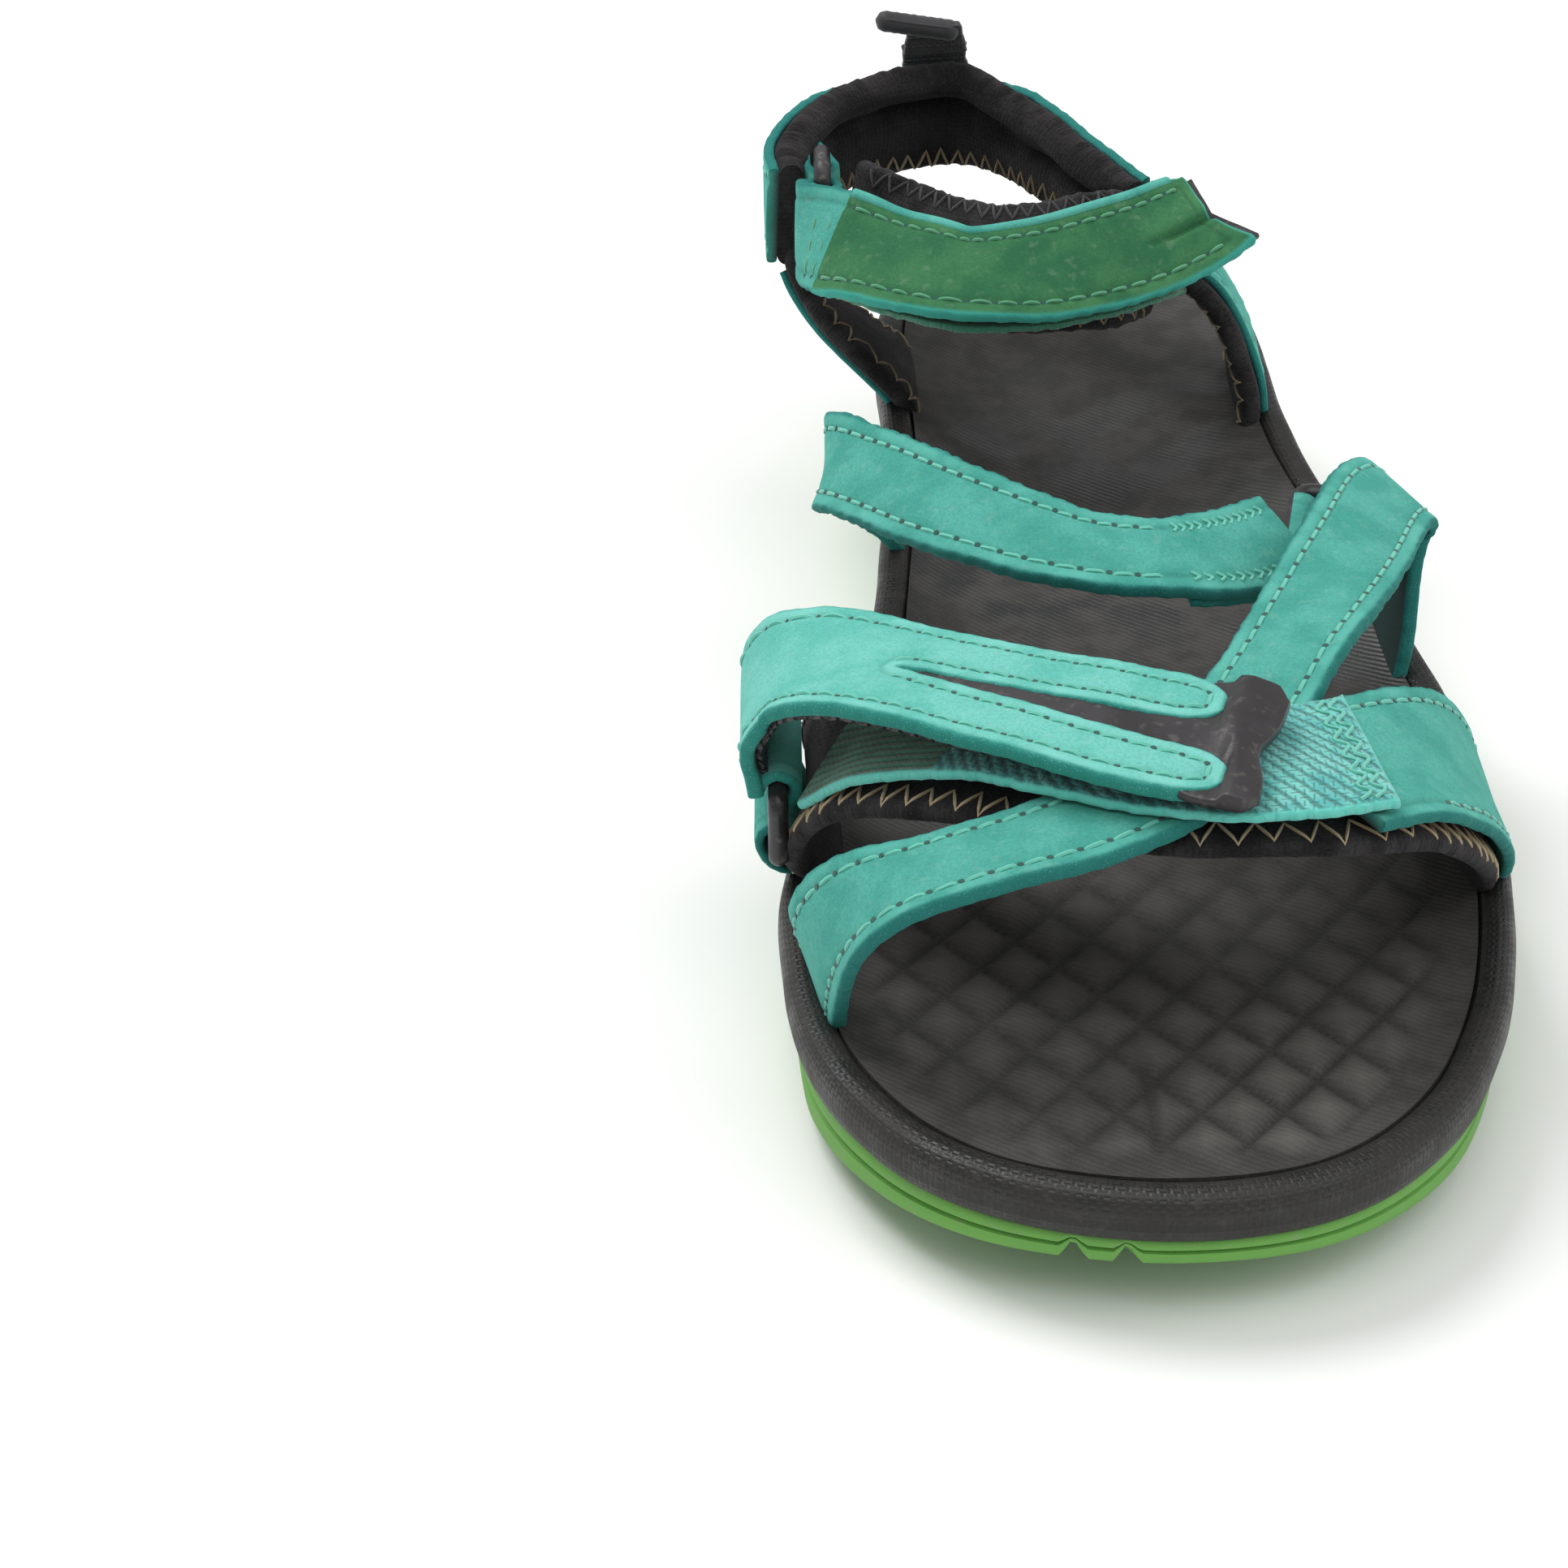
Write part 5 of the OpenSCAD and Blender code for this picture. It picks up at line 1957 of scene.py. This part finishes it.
@dataclass
class AnkleClosure(Assembly):
    """The closure over the ankle: tongue, loop tape, ring and flap.

    Attributes:
        turn_length: Length of the aqua piece at the fold.
        fishtail: Depth of the notch in the flap's end.
        ring_bar: The bar that the flap turns round.
    """

    INSIDE = (-0.01, 0.08, 0.03)

    turn_length: float = 12 * MM
    fishtail: float = 2.6 * MM
    ring_bar: tuple[float, float, float] = (-0.0356, 0.074, 0.0563)

    def build(self) -> None:
        """Builds the closure from the inside out."""
        band = Band.read("ankle_lining", (-0.0302, 0.081, 0.0565), self.INSIDE)
        cap = dome(band.half_at, band.length, 6 * MM)
        tongue = Ribbon(band, LINING, [Strip((0.0, band.length), level(0), cap, (False, True))])

        def overlock(shape: Shape) -> None:
            """Adds the zigzag along both edges of the tongue."""
            for side, tint in ((Side.RIGHT, 1), (Side.LEFT, 2)):
                tongue.zigzag(shape, side, 3 * MM, band.length - 6 * MM, tint, deep=3 * MM)

        finishes = ("lining_knit", "thread_brown", "thread_black")
        self.strap("ankle_tongue_knit", tongue, finishes, "neoprene", ["ankle_lining"], more=overlock)
        tape = Ribbon(
            Band.read("ankle_loop_web", (-0.0316, 0.0695, 0.0558), self.INSIDE),
            Section(thick=1.4 * MM, seam=0.0, crown=0.1 * MM, fray=0.1 * MM),
        )
        self.strap("ankle_loop_tape", tape, ("loop_tape_ankle",), "ankle_web", ["ankle_loop_web"])
        line = Band.read("ankle_anchor", (-0.0376, 0.0915, 0.0572), (-0.0356, 0.086, 0.0568))
        anchor = Ribbon(line, ANCHOR)
        self.strap("ankle_anchor_nubuck", anchor, AQUA, "nubuck", ["ankle_anchor"])
        self._flap()
        dress_node("ankle_ring", self.wardrobe, "ring_plastic")

    def _flap(self) -> None:
        """Builds the flap in two colours, its hook patch and its moulded end."""
        band = Band.read("ankle_closure", (-0.0386, 0.075, 0.0563), self.INSIDE)
        end = band.length

        def tail(u: np.ndarray, v: np.ndarray) -> tuple[np.ndarray, np.ndarray]:
            """Pulls the flap's end in at its middle."""
            bite = np.clip(1 - np.abs(v) / (7.5 * MM), 0, 1)
            return u - self.fishtail * bite * smooth(end - 9 * MM, end, u), v

        def ridge(u: np.ndarray, v: np.ndarray) -> np.ndarray:
            """Raises a short welt along the middle of the end."""
            long = smooth(end - 16 * MM, end - 7 * MM, u)
            spread = (0.9 + 1.3 * long) * MM
            welt = 0.75 * np.exp(-(((v - 0.6 * MM) / spread) ** 2))
            slit = 1.1 * np.exp(-(((v + 0.9 * MM) / (0.55 * MM)) ** 2))
            return MM * long * (welt - slit)

        start = Ribbon(band, Section(), [Strip.plain(band, 0.0, self.turn_length)])
        rest = Strip.plain(band, self.turn_length, end - 9 * MM, end, caps=(False, True))
        main = Ribbon(band, Section(crown=0.4 * MM, inner=23), [rest], ridge, tail)

        def details(shape: Shape) -> None:
            """Adds the aqua start, the seams and the turn round the bar."""
            start.add_to(shape, 3)
            for side in Side:
                path = main.side_path(rest, side, self.turn_length + 1 * MM, end - 3 * MM, self.seam_inset)
                main.sew(shape, path, 1, 2)
            inset = 0.35 * MM
            rim = main.side_path(rest, Side.LEFT, self.turn_length, end - 4 * MM, inset)
            shape.tube(main.face(rim[:, 0], rim[:, 1], np.full(len(rim), inset), -0.4 * MM), 0.85 * MM, 8, 3)
            for u in (self.turn_length - 4.5 * MM, self.turn_length - 1.6 * MM):
                v = np.linspace(-6 * MM, 6 * MM, 12)
                start.sew(shape, np.column_stack([np.full_like(v, u), v]), 1, 2)
            line = wrap(self.ring_bar, (0, 0, 1), (-1, 0.2, 0), -240, 2.3 * MM, 7.4 * MM)
            self.turn(shape, line, 1.6 * MM, 3)

        finishes = ("nubuck_green", "thread_green", "needle_hole_shade", "nubuck_aqua")
        body = Body.ANKLE_FLAP
        self.strap("ankle_flap_nubuck", main, finishes, "nubuck", ["ankle_closure"], body=body, more=details)
        self.hooks("ankle_hooks", "ankle_hook_patch", band, 16 * MM, end - 5 * MM, 1.5 * MM, body)
        rim = Strip.plain(band, end - 10 * MM, end + 1.3 * MM, trim=0.5 * MM, caps=(True, True))
        section = Section(thick=1.3 * MM, lift=-0.35 * MM, edge_radius=0.4 * MM, seam=0.0, fray=0.0)
        tip = Ribbon(band, section, [rim], None, tail)
        self.strap("ankle_tip", tip, ("tab_plastic",), "moulded_black", ["ankle_tab"], body=body)


@dataclass
class HeelCollar(Assembly):
    """The padded collar, its struts and skins, and the pull tab.

    Attributes:
        roll: How far the padding swells at the top edge.
        pad: How far it swells elsewhere.
        bar: The two ends of the pull tab's bar.
        stem: The points up the middle of the pull tab's stem.
        stem_half: Half the stem's width, at its foot and at the bar.
        tuck: How far the skins' top edge drops behind the padding's roll at the back of the heel.
        rise: How far the pull tab's sewn base stands above the collar, behind the tab's foot.
    """

    rise: float = 2.8 * MM

    stem_half: tuple[float, float] = (5.0 * MM, 4.1 * MM)
    tuck: float = 2.6 * MM
    roll: float = 1.6 * MM
    pad: float = 0.8 * MM
    bar: tuple[tuple[float, float, float], ...] = ((-0.0266, 0.1063, 0.0783), (-0.0134, 0.1079, 0.0757))
    stem: tuple[tuple[float, float, float], ...] = (
        (-0.0171, 0.1094, 0.0720),
        (-0.0172, 0.1088, 0.0738),
        (-0.0173, 0.1080, 0.0756),
        (-0.0174, 0.1073, 0.0770),
    )

    def build(self) -> None:
        """Builds the collar."""
        self._padding()
        self._struts()
        self._tab()

    def _padding(self) -> None:
        """Builds the stuffed fleece collar, with its rolled top edge facing the foot."""
        band = Band.read("heel_lining", (-0.0406, 0.082, 0.0555), (-0.015, 0.25, 0.06))

        def swell(u: np.ndarray, v: np.ndarray) -> np.ndarray:
            """Stuffs the collar: a roll at the top, a sewn channel, then a softer panel."""
            top = band.half_at(u) - v
            roll = self.roll * np.exp(-(((top - 2.6 * MM) / (1.9 * MM)) ** 2))
            channel = -0.9 * MM * np.exp(-(((top - 5.6 * MM) / (0.7 * MM)) ** 2))
            lumps = 1 + 0.25 * np.sin(u / (3.7 * MM)) * np.cos(v / (3 * MM))
            panel = self.pad * smooth(6 * MM, 9 * MM, top) * lumps
            ends = smooth(0, 5 * MM, u) * smooth(band.length, band.length - 5 * MM, u)
            crease = 0.18 * MM * np.sin(u / (1.9 * MM) + 0.4 * np.sin(u / (5 * MM)))
            return ends * (roll + channel + panel + crease * np.exp(-(((top - 5.6 * MM) / (2.4 * MM)) ** 2)))

        section = Section(
            thick=3.6 * MM, edge_radius=1.7 * MM, seam=0.0, crown=0.3 * MM, fray=0.2 * MM, wave=0.2 * MM
        )
        collar = Ribbon(band, section, None, swell)

        def details(shape: Shape) -> None:
            """Adds the zigzag along the lower edge."""
            collar.zigzag(shape, Side.RIGHT, 4 * MM, band.length - 4 * MM, 1)

        finishes = ("collar_fleece", "thread_brown")
        self.strap("collar_padding", collar, finishes, "neoprene", ["heel_lining"], more=details)

    def _struts(self) -> None:
        """Builds the struts and the nubuck skins outside the collar."""
        struts = {
            "lateral_strut": ((0.012, 0.0805, 0.0546), (0.06, 0.078, 0.03)),
            "medial_strut": ((-0.0402, 0.09, 0.0485), (-0.06, 0.085, 0.035)),
        }
        section = Section(thick=3.0 * MM, edge_radius=1.3 * MM, seam=0.0, fray=0.1 * MM, crown=0.4 * MM)
        for node, (start, outside) in struts.items():
            strut = Ribbon(Band.read(node, start, outside, at=0.7), section)

            def overlock(shape: Shape, strut: Ribbon = strut) -> None:
                """Adds the zigzag along both edges of the strut."""
                for side in Side:
                    strut.zigzag(shape, side, 4 * MM, strut.band.length - 3 * MM, 1, deep=3.4 * MM)

            finishes = ("lining_knit", "thread_brown")
            self.strap(node + "_knit", strut, finishes, "neoprene", [node], more=overlock)
        skins = {
            "heel_cover_medial": ((-0.0406, 0.082, 0.0555), (-0.02, 0.09, 0.058), 1.6 * MM, 0.5, (0.35, 0.8)),
            "heel_cover_lateral": ((-0.014, 0.113, 0.0613), (0.0, 0.08, 0.04), 1.6 * MM, 0.5, (0.4, 0.1)),
            "medial_strut_cover": ((-0.041, 0.089, 0.0445), (0.0, 0.08, 0.03), 1.2 * MM, 0.6, None),
            "lateral_strut_cover": ((0.0185, 0.078, 0.053), (0.0, 0.077, 0.03), 1.2 * MM, 0.7, None),
        }
        for node, (start, inside, thick, at, tucked) in skins.items():
            band = Band.read(node, start, inside, at)
            skin = Ribbon(band, Section(thick=thick, wave=0.08 * MM), [self._skin_strip(band, tucked)])
            self.strap(node + "_nubuck", skin, AQUA, "nubuck", [node], self.seams(skin))

    def _skin_strip(self, band: Band, tucked: tuple[float, float] | None) -> Strip:
        """The outline of one nubuck skin.

        Args:
            band: The skin's line.
            tucked: Shares of its length between which its top edge drops, or None for a strut's skin,
                which runs on down behind the rand.

        Returns:
            The outline.
        """
        if tucked is None:
            return Strip.plain(band, 0.0, band.length, band.length + 2.5 * MM)

        def half_drop(u: np.ndarray) -> np.ndarray:
            """Half of how far the top edge drops."""
            return self.tuck * smooth(*tucked, u / band.length) / 2

        return Strip((0.0, band.length), half_drop, lambda u: band.half_at(u) - half_drop(u))

    def _tab(self) -> None:
        """Builds the sewn base of the pull tab, and the tab with its rolled bar."""
        band = Band.read("pull_tab_base", (-0.0143, 0.1186, 0.0535), (-0.014, 0.09, 0.06))
        foot = Strip(
            (0.0, band.length, band.length + self.rise),
            lambda u: -2.3 * MM * smooth(0.5 * band.length, band.length, u),
            lambda u: 4 * MM + 1.2 * MM * smooth(0.5 * band.length, band.length, u),
        )
        base = Ribbon(band, Section(thick=1.2 * MM, seam=0.0, fray=0.1 * MM, wave=0.0), [foot])
        finishes = ("tab_tape_black", "thread_black")
        self.strap("pull_tab_base_tape", base, finishes, "webbing_black", ["pull_tab_base"])
        points = spline(np.array(self.stem), 6)
        out = np.tile([0.0, 1.0, 0.15], (len(points), 1))
        stem_band = Band(points, unit(out), np.linspace(*self.stem_half, len(points)), 1.6 * MM)
        stem = Ribbon(stem_band, Section(thick=1.6 * MM, seam=0.0, fray=0.05 * MM, wave=0.0, step=0.5 * MM))

        def details(shape: Shape) -> None:
            """Adds the rolled bar with its round ends, and the seam along the roll."""
            a, b = (np.array(p) for p in self.bar)
            t = np.linspace(0, 1, 26)
            ends = np.minimum(t, 1 - t) * np.linalg.norm(b - a)
            radius = 1.65 * MM * np.sqrt(np.clip(1 - (1 - np.clip(ends / (1.5 * MM), 0, 1)) ** 2, 0.02, 1))
            radius = radius * (1 + 0.03 * np.sin(t * 60))
            line = a + t[:, None] * (b - a)
            shape.tube(line, radius, 20)
            along = line[3:-3] + np.array([0, -1.45, 0.75]) * MM
            shape.tube(along, 0.22 * MM, 6, 1)

        body = Body.PULL_TAB
        self.strap("pull_tab_tape", stem, finishes, "webbing_black", ["pull_tab"], body=body, more=details)


# ---------------------------------------------------------------- the studio


@dataclass
class Studio:
    """Floor, lights, sky and camera.

    Attributes:
        eye: The camera's place.
        tilt: How far the camera looks up from straight down, its turn and its roll, in degrees.
        lens: The camera's focal length.
    """

    eye: tuple[float, float, float] = (-0.0424, -0.4512, 0.2622)
    tilt: tuple[float, float, float] = (60.0, 0.06, -0.968)
    lens: float = 84.2

    def build(self) -> None:
        """Builds the studio."""
        scene = bpy.context.scene
        scene.view_settings.view_transform = "Standard"
        scene.view_settings.look = "None"
        self._floor()
        self._sky(scene)
        lights = (
            ("key_softbox", (-0.55, 0.35, 1.15), 0.8, 11.0),
            ("fill_softbox", (0.95, -0.45, 0.85), 1.1, 4.0),
            ("top_softbox", (0.05, -0.55, 1.35), 1.2, 6.0),
        )
        for name, place, size, power in lights:
            self._light(name, place, size, power)
        self._camera(scene)

    def _floor(self) -> None:
        """Lays the plain pale floor."""
        mesh = bpy.data.meshes.new("floor")
        size = 12.0
        card = [(-size, -size, 0), (size, -size, 0), (size, size, 0), (-size, size, 0)]
        mesh.from_pydata(card, [], [(0, 1, 2, 3)])
        floor = bpy.data.objects.new("floor", mesh)
        bpy.context.scene.collection.objects.link(floor)
        material = bpy.data.materials.new("floor_card")
        material.use_nodes = True
        net = Net(material.node_tree)
        shader = net.tree.nodes["Principled BSDF"]
        tone = net.noise(net.place(), 3.0)
        card = net.mix(net.step(tone, 0.3, 0.7), (0.86, 0.86, 0.85), (0.88, 0.88, 0.87))
        net.feed(shader.inputs["Base Color"], card)
        shader.inputs["Roughness"].default_value = 0.9
        mesh.materials.append(material)
        floor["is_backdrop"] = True

    @staticmethod
    def _sky(scene: bpy.types.Scene) -> None:
        """Fills the room with soft light."""
        world = bpy.data.worlds.new("soft_room")
        scene.world = world
        world.use_nodes = True
        sky = world.node_tree.nodes["Background"]
        sky.inputs["Color"].default_value = (1.0, 1.0, 1.0, 1)
        sky.inputs["Strength"].default_value = 0.5

    @staticmethod
    def _light(name: str, place: tuple[float, float, float], size: float, power: float) -> None:
        """Hangs a softbox that faces the sandal.

        Args:
            name: Its name.
            place: Where it hangs.
            size: How wide it is.
            power: Its power in watts.
        """
        data = bpy.data.lights.new(name, "AREA")
        data.shape = "DISK"
        data.size = size
        data.energy = power
        lamp = bpy.data.objects.new(name, data)
        lamp.location = place
        lamp.rotation_euler = (Vector((0, 0, 0.03)) - Vector(place)).to_track_quat("-Z", "Y").to_euler()
        bpy.context.scene.collection.objects.link(lamp)

    def _camera(self, scene: bpy.types.Scene) -> None:
        """Sets up the camera."""
        data = bpy.data.cameras.new("camera")
        data.lens = self.lens
        data.sensor_width = 36.0
        data.clip_start = 0.01
        camera = bpy.data.objects.new("camera", data)
        up, turn, roll = (math.radians(a) for a in self.tilt)
        look = Matrix.Rotation(turn, 4, "Z") @ Matrix.Rotation(up, 4, "X") @ Matrix.Rotation(roll, 4, "Z")
        camera.matrix_world = Matrix.Translation(self.eye) @ look
        scene.collection.objects.link(camera)
        scene.camera = camera


NODES: dict[str, bpy.types.Object] = {}


def corners() -> list[list[float]]:
    """The lowest and highest corners of everything that shows."""
    return [[float(x) for x in corner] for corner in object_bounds()]


def main() -> None:
    """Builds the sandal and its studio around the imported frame."""
    logging.basicConfig(level=logging.INFO, format="%(name)s: %(message)s")
    NODES.update(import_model()["nodes"])
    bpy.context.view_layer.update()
    wardrobe = Wardrobe()
    for part in (SoleUnit, ToeStrap, InstepStrap, ForefootClosure, AnkleClosure, HeelCollar):
        part(wardrobe).build()
        LOG.info("finished the %s", part.__name__)
    Studio().build()
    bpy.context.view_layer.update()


if __name__ == "__main__":
    main()
